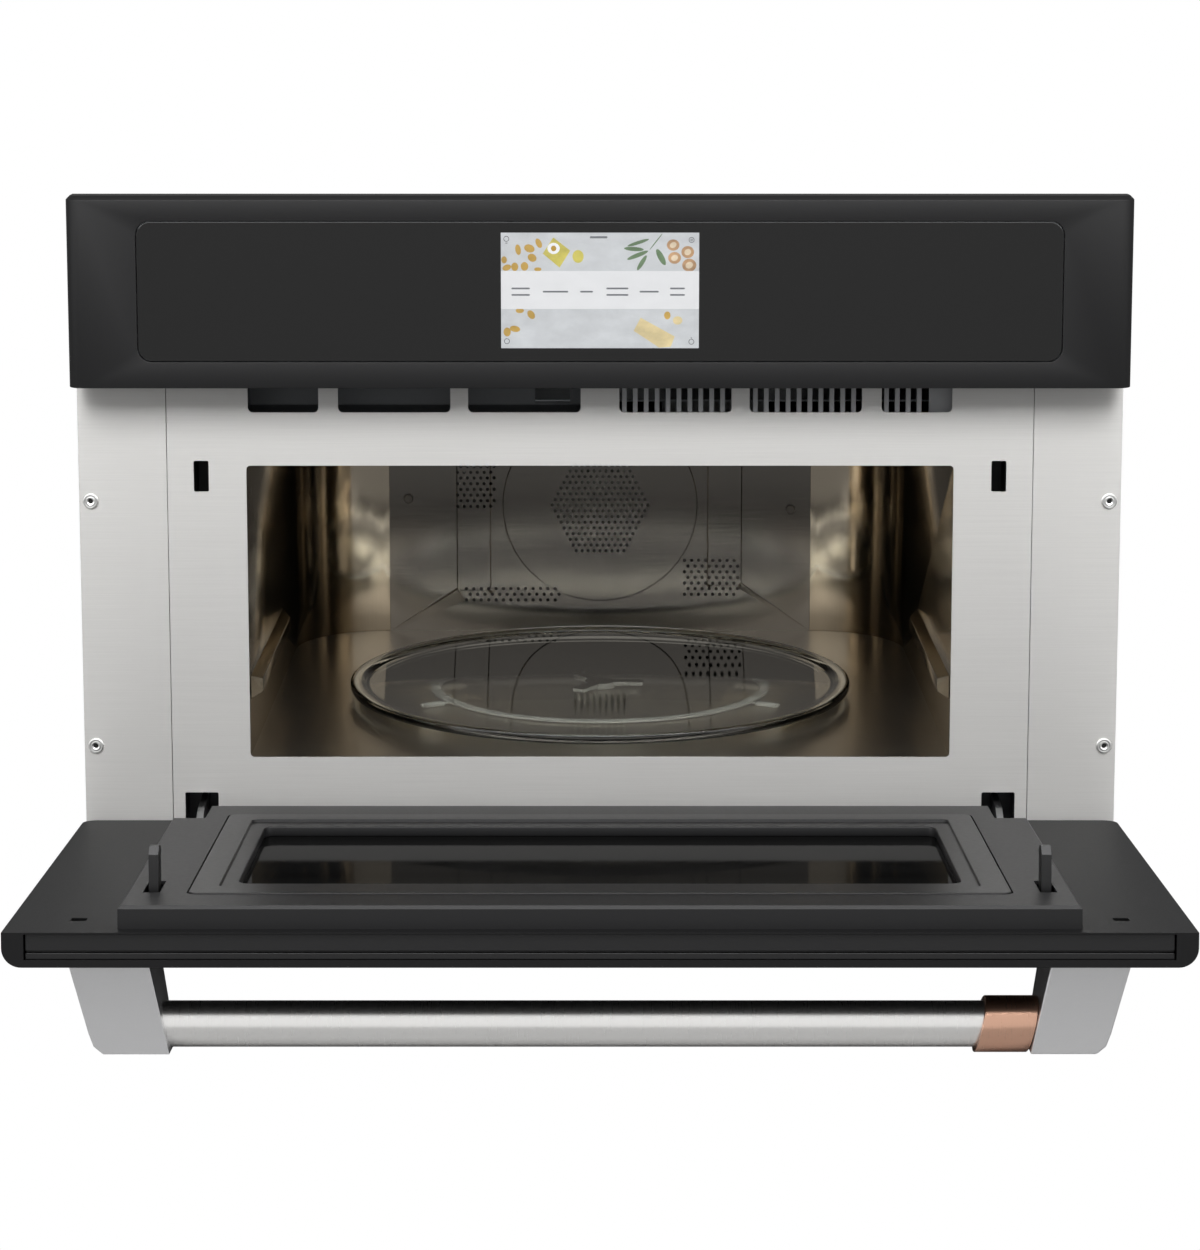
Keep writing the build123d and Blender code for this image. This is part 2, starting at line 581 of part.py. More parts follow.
motor -= rod_y(0, housing_back - 1, housing_back + 12, FAN_Z, SHAFT_R + PIN_GAP)
parts["convection_motor"] = motor

# Lamp reflector with its quartz lamps, above the slotted part of the ceiling.
roof = CAVITY_HIGH + CAVITY_SHEET
reflector = block(LAMP_X - LAMP_HALF_X, LAMP_X + LAMP_HALF_X, ROOF_Y - LAMP_HALF_Y, ROOF_Y + LAMP_HALF_Y,
                  roof, DECK_Z)
reflector -= block(LAMP_X - LAMP_HALF_X + SHEET, LAMP_X + LAMP_HALF_X - SHEET,
                   ROOF_Y - LAMP_HALF_Y + SHEET, ROOF_Y + LAMP_HALF_Y - SHEET, roof - 1, DECK_Z - SHEET)
parts["lamp_reflector"] = reflector
lamps = []
for lamp_offset in (-45, 0, 45):
    lamps.append(rod_x(LAMP_X - LAMP_HALF_X + SHEET, LAMP_X + LAMP_HALF_X - SHEET, ROOF_Y + lamp_offset,
                       roof + 20, LAMP_R))
parts["quartz_lamps"] = group(lamps)

# Microwave feed: a waveguide over the ceiling's opening, its mica cover and the magnetron.
guide_top = DECK_Z + 8
guide = block(FEED_X - FEED_HALF, FEED_X + FEED_HALF, ROOF_Y - 32, ROOF_Y + 110, roof, guide_top)
guide -= block(FEED_X - FEED_HALF + FEED_WALL, FEED_X + FEED_HALF - FEED_WALL, ROOF_Y - 32 + FEED_WALL,
               ROOF_Y + 110 - FEED_WALL, roof - 1, guide_top - FEED_WALL)
guide += block(FEED_X - FEED_HALF, FEED_X + FEED_HALF, ROOF_Y + 28, ROOF_Y + 110, roof, roof + FEED_WALL)
guide -= rod_z(FEED_X, TUBE_Y, DECK_Z, guide_top + 12, TUBE_R + 3)
parts["waveguide"] = guide
cover_thick = 1.2
parts["waveguide_cover"] = block(
    FEED_X - FEED_HALF - 4, FEED_X + FEED_HALF + 4, ROOF_Y - 36, ROOF_Y + 36, CAVITY_HIGH - cover_thick,
    CAVITY_HIGH)
tube_height = 70.0
yoke_half = 40.0
yoke_plate = 8.0
tube_top = guide_top + tube_height
magnetron = block(FEED_X - yoke_half, FEED_X + yoke_half, TUBE_Y - 34, TUBE_Y + 34, guide_top, tube_top)
magnetron -= block(FEED_X - yoke_half - 10, FEED_X + yoke_half + 10, TUBE_Y - 32, TUBE_Y + 32,
                   guide_top + yoke_plate, tube_top - yoke_plate)
magnetron += rod_z(FEED_X, TUBE_Y, guide_top - 26, tube_top, TUBE_R)
cooling_fins = 8
for fin in range(cooling_fins):
    fin_z = guide_top + yoke_plate + 5 + 6 * fin
    magnetron += block(FEED_X - yoke_half + 2, FEED_X + yoke_half - 2, TUBE_Y - 31, TUBE_Y + 31, fin_z,
                       fin_z + 0.8)
parts["magnetron"] = magnetron

# Power transformer: a laminated core with two windows, and the winding round its middle leg.
core_half = 48.0
leg_half = 10.0
window_out = 30.0
core = block(CORE_X - core_half, CORE_X + core_half, CORE_Y - 38, CORE_Y + 38, DECK_TOP,
             DECK_TOP + CORE_HEIGHT)
for side in (-1, 1):
    core -= block(CORE_X + side * leg_half, CORE_X + side * window_out, CORE_Y - 40, CORE_Y + 40,
                  DECK_TOP + 16, DECK_TOP + CORE_HEIGHT - 16)
windings = block(CORE_X - window_out + 0.5, CORE_X + window_out - 0.5, CORE_Y - 54, CORE_Y + 54,
                 DECK_TOP + 17, DECK_TOP + CORE_HEIGHT - 17)
windings = fillet(windings.edges().filter_by(Axis.Z), 12)
windings -= block(CORE_X - leg_half - 0.5, CORE_X + leg_half + 0.5, CORE_Y - 38.5, CORE_Y + 38.5, 0,
                  FRONT_HEIGHT)
parts["power_transformer"] = group([core, windings])

# Cooling blower: a scroll on the deck with a squirrel-cage wheel turned by its own motor.
wheel_z = DECK_TOP + BLOWER_R + 12
scroll_half = BLOWER_WIDTH / 2 + 3
scroll_r = BLOWER_R + 11
outlet_high = DECK_TOP + BLOWER_R + 8
outlet_back = BLOWER_Y - 12
scroll = rod_x(BLOWER_X - scroll_half, BLOWER_X + scroll_half, BLOWER_Y, wheel_z, scroll_r)
scroll += block(BLOWER_X - scroll_half, BLOWER_X + scroll_half, BLOWER_Y - 110, outlet_back, DECK_TOP,
                outlet_high)
scroll_half_in = scroll_half - SHEET
scroll -= rod_x(BLOWER_X - scroll_half_in, BLOWER_X + scroll_half_in, BLOWER_Y, wheel_z, scroll_r - SHEET)
scroll -= block(BLOWER_X - scroll_half_in, BLOWER_X + scroll_half_in, BLOWER_Y - 111, outlet_back - 2,
                DECK_TOP + SHEET, outlet_high - SHEET)
scroll -= rod_x(BLOWER_X - scroll_half - 1, BLOWER_X - scroll_half + 3, BLOWER_Y, wheel_z, BLOWER_R - 8)
scroll -= rod_x(BLOWER_X, BLOWER_X + scroll_half + 1, BLOWER_Y, wheel_z, 8)
parts["blower_housing"] = scroll
wheel_low = BLOWER_X - BLOWER_WIDTH / 2
wheel_high = BLOWER_X + BLOWER_WIDTH / 2
spindle_r = 3.0
wheel = rod_x(wheel_high - disc_thick, wheel_high, BLOWER_Y, wheel_z, BLOWER_R)
wheel += rod_x(wheel_low, wheel_low + disc_thick, BLOWER_Y, wheel_z, BLOWER_R)
wheel -= rod_x(wheel_low - 1, wheel_low + 2, BLOWER_Y, wheel_z, BLOWER_R - 7)
vane = block(wheel_low, wheel_high, BLOWER_R - 7.5, BLOWER_R - 0.5, -0.6, 0.6)
for index in range(BLOWER_BLADES):
    wheel += Pos(0, BLOWER_Y, wheel_z) * Rot(360 / BLOWER_BLADES * index, 0, 0) * vane
wheel += rod_x(wheel_high - 12, BLOWER_X + scroll_half + 12, BLOWER_Y, wheel_z, spindle_r)
parts["blower_wheel"] = wheel
blower_motor = rod_x(BLOWER_X + scroll_half, BLOWER_X + scroll_half + 34, BLOWER_Y, wheel_z, 26)
blower_motor -= rod_x(BLOWER_X + scroll_half - 1, BLOWER_X + scroll_half + 14, BLOWER_Y, wheel_z,
                      spindle_r + PIN_GAP)
parts["blower_motor"] = blower_motor

# Turntable drive: motor under the floor and a shaft up to the three-armed coupler.
floor_under = CAVITY_LOW - CAVITY_SHEET
drive_motor = rod_z(0, TRAY_Y, floor_under - 16, floor_under, 25)
drive_motor -= rod_z(0, TRAY_Y, floor_under - 10, floor_under + 1, SHAFT_R + PIN_GAP)
parts["turntable_motor"] = drive_motor
tray_under = CAVITY_LOW + 2 * ROLLER_R + 2 * RUN_GAP
coupler = rod_z(0, TRAY_Y, CAVITY_LOW + 2 * RUN_GAP, tray_under, COUPLER_R)
coupler_arm = block(COUPLER_R - 4, COUPLER_R + 22, -5, 5, tray_under - 4, tray_under)
for index in range(3):
    coupler += Pos(0, TRAY_Y, 0) * Rot(0, 0, 120 * index) * coupler_arm
coupler += rod_z(0, TRAY_Y, floor_under - 8, CAVITY_LOW + 2, SHAFT_R)
parts["drive_coupler"] = coupler

# Glass tray: a flat plate with a raised and thickened rim, turned from one profile.
tray_plate_top = tray_under + TRAY_PLATE
rim_in = TRAY_R - TRAY_RIM
rim_low = TRAY_TOP - TRAY_RIM_HEIGHT
tray_profile = [
    (0, tray_under), (rim_in - 2, tray_under), (rim_in + 1, rim_low), (TRAY_R - 3, rim_low),
    (TRAY_R, rim_low + 2.5), (TRAY_R, TRAY_TOP - 1.5), (TRAY_R - 2, TRAY_TOP), (rim_in + 3, TRAY_TOP),
    (rim_in - 1, tray_plate_top), (0, tray_plate_top)]
tray_face = make_face(Polyline([(r, 0, z) for r, z in tray_profile], close=True))
parts["turntable_tray"] = Pos(0, TRAY_Y, 0) * revolve(tray_face, Axis.Z)

# Roller ring: a flat ring with three spindles, and a roller on each.
ring_z = CAVITY_LOW + ROLLER_R + RUN_GAP
roller_in = ROLLER_RING_R - ROLLER_LENGTH / 2
roller_out = roller_in + ROLLER_LENGTH
ring_out = roller_in - 5
ring_half_thick = 1.5
roller_ring = rod_z(0, TRAY_Y, ring_z - ring_half_thick, ring_z + ring_half_thick, ring_out)
roller_ring -= rod_z(0, TRAY_Y, ring_z - 5, ring_z + 5, ring_out - 8)
for index in range(ROLLERS):
    turn = Pos(0, TRAY_Y, ring_z) * Rot(0, 0, 90 + 360 / ROLLERS * index)
    roller_ring += turn * rod_x(ring_out - 4, roller_out + 1.5, 0, 0, ROLLER_PIN_R)
    roller_ring += turn * rod_x(roller_out + 0.5, roller_out + 1.5, 0, 0, 2 * ROLLER_PIN_R)
    roller = rod_x(roller_in, roller_out, 0, 0, ROLLER_R)
    roller -= rod_x(roller_in - 1, roller_out + 1, 0, 0, ROLLER_PIN_R + PIN_GAP)
    parts["roller_%d" % (index + 1)] = turn * roller
parts["roller_ring"] = roller_ring

# Latch housings behind the frame's latch slots, with two switches outside each.
latch_half = 14.0
latch_depth = 46.0
latch_low = LATCH_SLOT_LOW - 18
latch_high = LATCH_SLOT_HIGH + 15.4
latch_out = LATCH_X + latch_half
latch_box = block(LATCH_X - latch_half, latch_out, FRAME_SHEET, latch_depth, latch_low, latch_high)
latch_box -= block(LATCH_X - latch_half / 2, LATCH_X + latch_half / 2, FRAME_SHEET - 1, latch_depth - 6,
                   latch_low + 8, latch_high - 6)
parts["latch_housings"] = both_sides(latch_box)
switches = []
for switch_z in (latch_low + 6, latch_low + 30):
    switch = block(latch_out, latch_out + 10.5, 10, 38, switch_z, switch_z + 20)
    switches += [switch, mirrored(switch)]
parts["door_switches"] = group(switches)

# Hinge receivers in the body, and the levers that hook into them and carry the door.
receiver_wall = 2.4
receiver_half = HINGE_SLOT_WIDTH / 2 + receiver_wall
receiver_depth = 90.0
lever_low = 13.5
receiver = block(HINGE_X - receiver_half, HINGE_X + receiver_half, FRAME_SHEET, receiver_depth,
                 BODY_FLOOR_Z + SHEET, HINGE_SLOT_HIGH + 4)
receiver -= block(HINGE_X - ARM_THICK / 2, HINGE_X + ARM_THICK / 2, FRAME_SHEET - 1, receiver_depth - 8,
                  lever_low - 0.5, HINGE_SLOT_HIGH - 4)
receiver -= block(HINGE_X - receiver_half + 2, HINGE_X + receiver_half - 2, FRAME_SHEET - 1, 24,
                  HINGE_SLOT_LOW, HINGE_SLOT_HIGH)
parts["hinge_receivers"] = both_sides(receiver)
lever_end = receiver_depth - 10
lever_points = [
    (HINGE_Y, HINGE_Z - ARM_EYE_R), (-4, lever_low), (lever_end, lever_low), (lever_end, HINGE_Z + 14.5),
    (30, HINGE_Z + 20.5), (-6, HINGE_Z + 16.5), (-16, HINGE_Z + 10.5), (HINGE_Y, HINGE_Z + ARM_EYE_R)]
lever_in = HINGE_X - ARM_THICK / 2
lever_out = HINGE_X + ARM_THICK / 2
lever = in_yz(lever_points, lever_in, lever_out) + rod_x(lever_in, lever_out, HINGE_Y, HINGE_Z, ARM_EYE_R)
lever -= rod_x(lever_in - 1, lever_out + 1, HINGE_Y, HINGE_Z, PIN_R + PIN_GAP)
parts["hinge_arms"] = both_sides(lever)

# Insulation: one blanket beside each cavity wall and one under its floor.
blanket_front = 24.0
blanket_back = CAVITY_DEPTH - 19
side_blanket = block(half_cavity + CAVITY_SHEET, LATCH_X - latch_half - 0.5, blanket_front, blanket_back,
                     CAVITY_LOW + 9.3, CAVITY_HIGH - 3.1)
under_blanket = block(-half_cavity, half_cavity, blanket_front, blanket_back, floor_under - 22, floor_under)
under_blanket -= rod_z(0, TRAY_Y, 0, CAVITY_LOW, 34)
parts["insulation"] = group([side_blanket, mirrored(side_blanket), under_blanket])

# Screws: two hold the rear guard, and six hold the wrap to the rear panel.
screw_head_r = 4.0
screws = []
for guard_x, guard_z in guard_screws:
    shank = rod_y(guard_x, CAVITY_DEPTH - 1.5, CAVITY_DEPTH + 6, guard_z, GUARD_SCREW_R - 0.2)
    screws.append(shank + rod_y(guard_x, CAVITY_DEPTH - 2.5, CAVITY_DEPTH, guard_z, screw_head_r))
for casing_x in (18 - half_body, 0, half_body - 18):
    for casing_z in (BODY_FLOOR_Z + 20, BODY_TOP - 15):
        screws.append(rod_y(casing_x, BODY_DEPTH, BODY_DEPTH + 2, casing_z, screw_head_r))
parts["screws"] = group(screws)

# Door, modelled closed. Skin: a painted pan, folded round the sides, with a hole for the window.
door = {}
door_back = -DOOR_BACK
skin = block(-half_front, half_front, -DOOR_FRONT, door_back, DOOR_LOW, DOOR_HIGH)
skin = fillet(skin.edges().filter_by(Axis.Z).group_by(Axis.Y)[0], DOOR_SIDE_R)
skin = fillet(skin.faces().sort_by(Axis.Z)[0].edges().group_by(Axis.Y)[0], DOOR_FOOT_R)
hollow = block(
    -half_front + DOOR_SHEET, half_front - DOOR_SHEET, -DOOR_FRONT + DOOR_SHEET, door_back - DOOR_SHEET,
    DOOR_LOW + DOOR_SHEET, DOOR_HIGH - TOP_TRIM_HEIGHT)
hollow = fillet(hollow.edges().filter_by(Axis.Z).group_by(Axis.Y)[0], DOOR_SIDE_R - DOOR_SHEET)
hollow = fillet(hollow.faces().sort_by(Axis.Z)[0].edges().group_by(Axis.Y)[0], DOOR_FOOT_R - DOOR_SHEET)
skin -= hollow
trim_pocket = half_front - TOP_TRIM_INSET + 1
skin -= block(-trim_pocket, trim_pocket, -DOOR_FRONT + 4.8, door_back - DOOR_SHEET,
              DOOR_HIGH - TOP_TRIM_HEIGHT - 1, DOOR_HIGH + 1)
liner_half = LINER_WIDTH / 2
skin -= block(-liner_half + 12, liner_half - 12, door_back - 3, door_back + 1, LINER_LOW + 12,
              LINER_HIGH - 12)
skin -= slab_y(0, OUTER_WINDOW_WIDTH, OUTER_WINDOW_LOW, OUTER_WINDOW_HIGH, -DOOR_FRONT - 1, door_back,
               OUTER_WINDOW_R)
cheek_front = -DOOR_FRONT + 3.5
for side in (-1, 1):
    skin -= block(side * (HINGE_X - 9), side * (HINGE_X + 9), cheek_front, door_back + 1, 0,
                  CHEEK_HIGH - 12)
    skin -= block(side * (half_front - 48.8), side * (half_front - 38.8), door_back - 3, door_back + 1,
                  DOOR_HIGH - 40, DOOR_HIGH - 32)
door["door_skin"] = skin
top_trim_half = half_front - TOP_TRIM_INSET
top_trim = block(-top_trim_half, top_trim_half, -DOOR_FRONT + 5, door_back - DOOR_SHEET - 0.2,
                 DOOR_HIGH - TOP_TRIM_HEIGHT + 0.2, DOOR_HIGH - 1.5)
top_trim -= block(-half_front, half_front, -DOOR_FRONT + 9, -DOOR_FRONT + 10.5, DOOR_HIGH - 4, DOOR_HIGH)
door["door_top_trim"] = top_trim
door["outer_window"] = slab_y(
    0, OUTER_WINDOW_WIDTH - 1, OUTER_WINDOW_LOW + 0.5, OUTER_WINDOW_HIGH - 0.5, -DOOR_FRONT + 0.3,
    -DOOR_FRONT + 0.3 + OUTER_GLASS, OUTER_WINDOW_R)

# Liner: the raised tray on the inside, notched at its lower corners for the hinges.
liner_face = -LINER_FACE
liner_back = liner_face - LINER_SHEET - 1
liner = block(-liner_half, liner_half, door_back, liner_face, LINER_LOW, LINER_HIGH)
liner = chamfer(liner.faces().sort_by(Axis.Y)[-1].edges(), LINER_EDGE)
liner -= block(-liner_half + LINER_SHEET, liner_half - LINER_SHEET, door_back - 1, liner_back,
               LINER_LOW + LINER_SHEET, LINER_HIGH - LINER_SHEET)
liner -= slab_y(0, CHOKE_WIDTH + 2 * CHOKE_GAP, CHOKE_LOW - CHOKE_GAP, CHOKE_HIGH + CHOKE_GAP,
                -DOOR_FRONT, 1, CHOKE_R)
hook_slot_half = 5.5
for side in (-1, 1):
    liner -= block(side * (liner_half - NOTCH_WIDTH), side * (liner_half + 1), door_back - 1, 1,
                   LINER_LOW - 1, NOTCH_HIGH)
    liner -= block(side * LATCH_X - hook_slot_half, side * LATCH_X + hook_slot_half, door_back - 1, 1,
                   HOOK_PIVOT_Z - 14, HOOK_PIVOT_Z + 19)
door["door_liner"] = liner

# Choke plate: the frame round the window, stepped down twice to the glass and seated by a flange
# behind the liner.
choke = slab_y(0, CHOKE_WIDTH, CHOKE_LOW, CHOKE_HIGH, door_back, liner_face + CHOKE_PROUD, CHOKE_R)
choke += slab_y(0, CHOKE_WIDTH + 2 * CHOKE_FLANGE, CHOKE_LOW - CHOKE_FLANGE, CHOKE_HIGH + CHOKE_FLANGE,
                liner_back - LINER_SHEET, liner_back, CHOKE_R)
choke -= slab_y(0, GROOVE_WIDTH, GROOVE_LOW, GROOVE_HIGH, liner_face - LINER_SHEET, 1, CHOKE_R)
choke -= slab_y(0, WINDOW_WIDTH, WINDOW_LOW, WINDOW_HIGH, -DOOR_FRONT, 1, WINDOW_R)
choke_rim = 12.0
choke -= slab_y(0, CHOKE_WIDTH - 2 * choke_rim, CHOKE_LOW + choke_rim, CHOKE_HIGH - choke_rim,
                -DOOR_FRONT, liner_face - 8, CHOKE_R)
door["choke_plate"] = choke

# Inner glass under the choke plate, with the perforated microwave screen on its outer side.
glass_lap = 8.0
inner_thick = 4.0
screen_thick = 0.6
glass_y = liner_face - WINDOW_SINK - 4
inner_back = glass_y - inner_thick
door["inner_glass"] = slab_y(0, WINDOW_WIDTH + 2 * glass_lap, WINDOW_LOW - glass_lap,
                             WINDOW_HIGH + glass_lap, inner_back, glass_y, WINDOW_R)
door["window_screen"] = slab_y(0, WINDOW_WIDTH + 2 * glass_lap, WINDOW_LOW - glass_lap,
                               WINDOW_HIGH + glass_lap, inner_back - screen_thick, inner_back, WINDOW_R)

# Hinge brackets on the door: two cheeks and the pin that turns in the lever's eye.
cheek_in = lever_in - CHEEK_GAP
cheek_out = lever_out + CHEEK_GAP
cheek_back = door_back - 2
bracket = block(cheek_in - CHEEK_THICK, cheek_in, cheek_front, cheek_back, CHEEK_LOW, CHEEK_HIGH)
bracket += block(cheek_out, cheek_out + CHEEK_THICK, cheek_front, cheek_back, CHEEK_LOW, CHEEK_HIGH)
bracket += block(cheek_in - CHEEK_THICK, cheek_out + CHEEK_THICK, -DOOR_FRONT + DOOR_SHEET, cheek_front,
                 CHEEK_LOW, CHEEK_HIGH)
bracket += rod_x(cheek_in - 1, cheek_out + 1, HINGE_Y, HINGE_Z, PIN_R)
door["hinge_brackets"] = both_sides(bracket)

# Handle: two cast brackets that lean inwards and taper to the tip, and a round bar between them.
lean = BRACKET_LEAN
root_in = BRACKET_ROOT_OUT - BRACKET_WIDTH
tip_y = -DOOR_FRONT - BRACKET_PROUD
bar_y = -DOOR_FRONT - BAR_STANDOFF
bracket_points = [
    (root_in, -DOOR_FRONT), (BRACKET_ROOT_OUT, -DOOR_FRONT), (BRACKET_ROOT_OUT - lean, tip_y + 13),
    (BRACKET_ROOT_OUT - lean - 3, tip_y + 5), (BRACKET_ROOT_OUT - lean - 9, tip_y),
    (root_in - lean, tip_y)]
handle_bracket = in_xy(bracket_points, BRACKET_LOW, BRACKET_HIGH)
taper_low = BRACKET_LOW - 20
taper_high = BAR_Z - BAR_R - 4
side_taper = in_yz([
    (-DOOR_FRONT + 1, taper_low), (-DOOR_FRONT + 1, BRACKET_LOW), (bar_y, taper_high),
    (tip_y - 1, taper_high), (tip_y - 1, taper_low)], 0, half_front)
handle_bracket -= side_taper
bar_end = root_in - lean * BAR_STANDOFF / BRACKET_PROUD + BAR_SOCKET
handle_bracket -= rod_x(0, bar_end + PIN_GAP, bar_y, BAR_Z, BAR_R + PIN_GAP)
door["handle_bracket_right"] = handle_bracket
door["handle_bracket_left"] = mirrored(handle_bracket)
door["handle_bar"] = rod_x(-bar_end, bar_end, bar_y, BAR_Z, BAR_R)

# Collar at the bar's right end, its ends cut parallel to the leaning bracket.
collar_root = root_in - COLLAR_GAP
collar_past = -DOOR_FRONT - 1.5 * BRACKET_PROUD
collar_lean = 1.5 * lean
collar_cut = in_xy([
    (collar_root, -DOOR_FRONT), (collar_root - collar_lean, collar_past),
    (collar_root - collar_lean - COLLAR_LENGTH, collar_past),
    (collar_root - COLLAR_LENGTH, -DOOR_FRONT)], BRACKET_LOW, DOOR_HIGH)
collar = rod_x(0, BRACKET_ROOT_OUT, bar_y, BAR_Z, COLLAR_R) & collar_cut
collar -= rod_x(0, BRACKET_ROOT_OUT, bar_y, BAR_Z, BAR_R + PIN_GAP)
door["handle_collar"] = collar

# Latch hooks: sprung levers that pass through the liner and catch behind the frame.
hook_root = HOOK_PIVOT_Y - 4
hook_tip = HOOK_PIVOT_Y + HOOK_LENGTH
hook_points = [
    (hook_root, HOOK_PIVOT_Z - 5), (HOOK_PIVOT_Y + 4, HOOK_PIVOT_Z - 7), (hook_tip - 8, HOOK_PIVOT_Z - 7),
    (hook_tip - 6, HOOK_PIVOT_Z - 10), (hook_tip - 1, HOOK_PIVOT_Z - 5), (hook_tip, HOOK_PIVOT_Z + 2),
    (hook_tip - 5, HOOK_PIVOT_Z + 7), (hook_root, HOOK_PIVOT_Z + 8)]
hook_in = LATCH_X - HOOK_THICK / 2
hook_out = LATCH_X + HOOK_THICK / 2
hook = in_yz(hook_points, hook_in, hook_out)
hook -= rod_x(hook_in - 1, hook_out + 1, HOOK_PIVOT_Y, HOOK_PIVOT_Z, HOOK_PIN_R + PIN_GAP)
door["latch_hook_right"] = hook
door["latch_hook_left"] = mirrored(hook)

# Clevises in the door that hold the hooks' pins.
clevis_wall = 2.0
clevis_low = HOOK_PIVOT_Z - 10
clevis_high = HOOK_PIVOT_Z + 12
clevis = rod_x(hook_in - clevis_wall, hook_out + clevis_wall, HOOK_PIVOT_Y, HOOK_PIVOT_Z, HOOK_PIN_R)
for clevis_x in (hook_in - clevis_wall - 1, hook_out + 1):
    clevis += block(clevis_x, clevis_x + clevis_wall, -DOOR_FRONT + DOOR_SHEET, door_back - 3, clevis_low,
                    clevis_high)
door["latch_pivots"] = both_sides(clevis)

swing = Pos(0, HINGE_Y, HINGE_Z) * Rot(DOOR_OPEN_DEG, 0, 0) * Pos(0, -HINGE_Y, -HINGE_Z)
for name, piece in door.items():
    parts[name] = swing * piece

os.makedirs("parts", exist_ok=True)
to_origin = Pos(0, 0, -SCREW_MID_Z)
for name, piece in parts.items():
    solids = [to_origin * solid for solid in piece.solids()]
    export_step(solids[0] if len(solids) == 1 else Compound(solids), "parts/%s.step" % name)
print(len(parts), "pieces")
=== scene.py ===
import json
import math
import bmesh
import bpy
from mathutils import Matrix, Vector, geometry

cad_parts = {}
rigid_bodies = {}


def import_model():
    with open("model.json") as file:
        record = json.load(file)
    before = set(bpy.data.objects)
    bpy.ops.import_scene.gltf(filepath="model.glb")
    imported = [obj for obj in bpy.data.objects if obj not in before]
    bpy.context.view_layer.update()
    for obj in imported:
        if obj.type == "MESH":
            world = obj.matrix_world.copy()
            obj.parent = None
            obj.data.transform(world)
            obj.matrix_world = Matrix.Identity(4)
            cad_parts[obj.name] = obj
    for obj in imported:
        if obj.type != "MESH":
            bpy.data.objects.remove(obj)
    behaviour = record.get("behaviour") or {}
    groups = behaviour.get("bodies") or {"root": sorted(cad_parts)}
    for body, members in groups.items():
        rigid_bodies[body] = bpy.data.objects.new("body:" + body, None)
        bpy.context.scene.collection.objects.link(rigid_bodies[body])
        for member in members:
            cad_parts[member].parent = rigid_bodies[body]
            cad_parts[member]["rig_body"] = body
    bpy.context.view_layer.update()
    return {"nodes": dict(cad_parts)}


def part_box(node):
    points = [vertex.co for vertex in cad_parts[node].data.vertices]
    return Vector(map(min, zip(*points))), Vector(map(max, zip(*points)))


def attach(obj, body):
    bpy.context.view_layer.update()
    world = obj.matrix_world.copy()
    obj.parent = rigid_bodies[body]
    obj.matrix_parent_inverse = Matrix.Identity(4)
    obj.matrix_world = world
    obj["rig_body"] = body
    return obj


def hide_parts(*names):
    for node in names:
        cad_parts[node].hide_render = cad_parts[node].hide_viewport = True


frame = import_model()

# Mounting frame. One brushed stainless sheet, laser cut and folded back at its top and foot,
# screwed to the cavity's flange. The grain runs from side to side.
scene = bpy.context.scene
MM = 0.001


def linear(code):
    """Linear colour of an sRGB hex code."""
    values = []
    for start in (0, 2, 4):
        value = int(code[start:start + 2], 16) / 255
        values.append(value / 12.92 if value <= 0.04045 else ((value + 0.055) / 1.055) ** 2.4)
    return (*values, 1.0)


def add(tree, kind, settings=None, links=None):
    """A shader node with its settings and with links into its inputs."""
    made = tree.nodes.new(kind)
    for key, value in (settings or {}).items():
        if isinstance(key, int) or key in made.inputs:
            made.inputs[key].default_value = value
        else:
            setattr(made, key, value)
    for key, socket in (links or {}).items():
        tree.links.new(socket, made.inputs[key])
    return made


def grain_in_mm(tree, per_mm, detail=3.0):
    """Noise over the piece; per_mm is how many waves there are in a millimetre along X, Y and Z."""
    place = add(tree, "ShaderNodeTexCoord")
    scaled = add(tree, "ShaderNodeMapping", {"Scale": [1000 * wave for wave in per_mm]},
                 {"Vector": place.outputs["Object"]})
    return add(tree, "ShaderNodeTexNoise", {"Scale": 1.0, "Detail": detail, "Roughness": 0.6},
               {"Vector": scaled.outputs["Vector"]}).outputs["Fac"]


def surface(name, colour, rough, grain, metallic=0.0, ior=1.5, shine=0.5, shade=0.06, vary=0.06, bump=0.004,
            coat=0.0, brushing=0.0, clear=0.0):
    """A finish whose noise, grain waves per mm, moves its shade, its roughness and its height in mm."""
    material = bpy.data.materials.new(name)
    material.use_nodes = True
    tree = material.node_tree
    finish = tree.nodes["Principled BSDF"]
    finish.inputs["Metallic"].default_value = metallic
    finish.inputs["IOR"].default_value = ior
    finish.inputs["Specular IOR Level"].default_value = shine
    finish.inputs["Transmission Weight"].default_value = clear
    finish.inputs["Coat Weight"].default_value = coat
    finish.inputs["Coat Roughness"].default_value = 0.06
    finish.inputs["Anisotropic"].default_value = brushing
    finish.inputs["Anisotropic Rotation"].default_value = 0.25
    noise = grain_in_mm(tree, grain)
    base = linear(colour)
    dark = add(tree, "ShaderNodeMapRange", {"To Min": 1 - shade, "To Max": 1 + shade}, {"Value": noise})
    tint = add(tree, "ShaderNodeVectorMath", {"operation": "SCALE", 0: base[:3]},
               {"Scale": dark.outputs["Result"]})
    tree.links.new(tint.outputs["Vector"], finish.inputs["Base Color"])
    smoothest = max(rough - vary, 0.02)
    spread = add(tree, "ShaderNodeMapRange", {"To Min": smoothest, "To Max": rough + vary}, {"Value": noise})
    tree.links.new(spread.outputs["Result"], finish.inputs["Roughness"])
    relief = add(tree, "ShaderNodeBump", {"Strength": 1.0, "Distance": bump * MM}, {"Height": noise})
    tree.links.new(relief.outputs["Normal"], finish.inputs["Normal"])
    return material


def settle(piece, body, nodes):
    """Ties a made piece to its body and hides the CAD nodes that it stands for."""
    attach(piece, body)
    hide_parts(*nodes)
    return piece


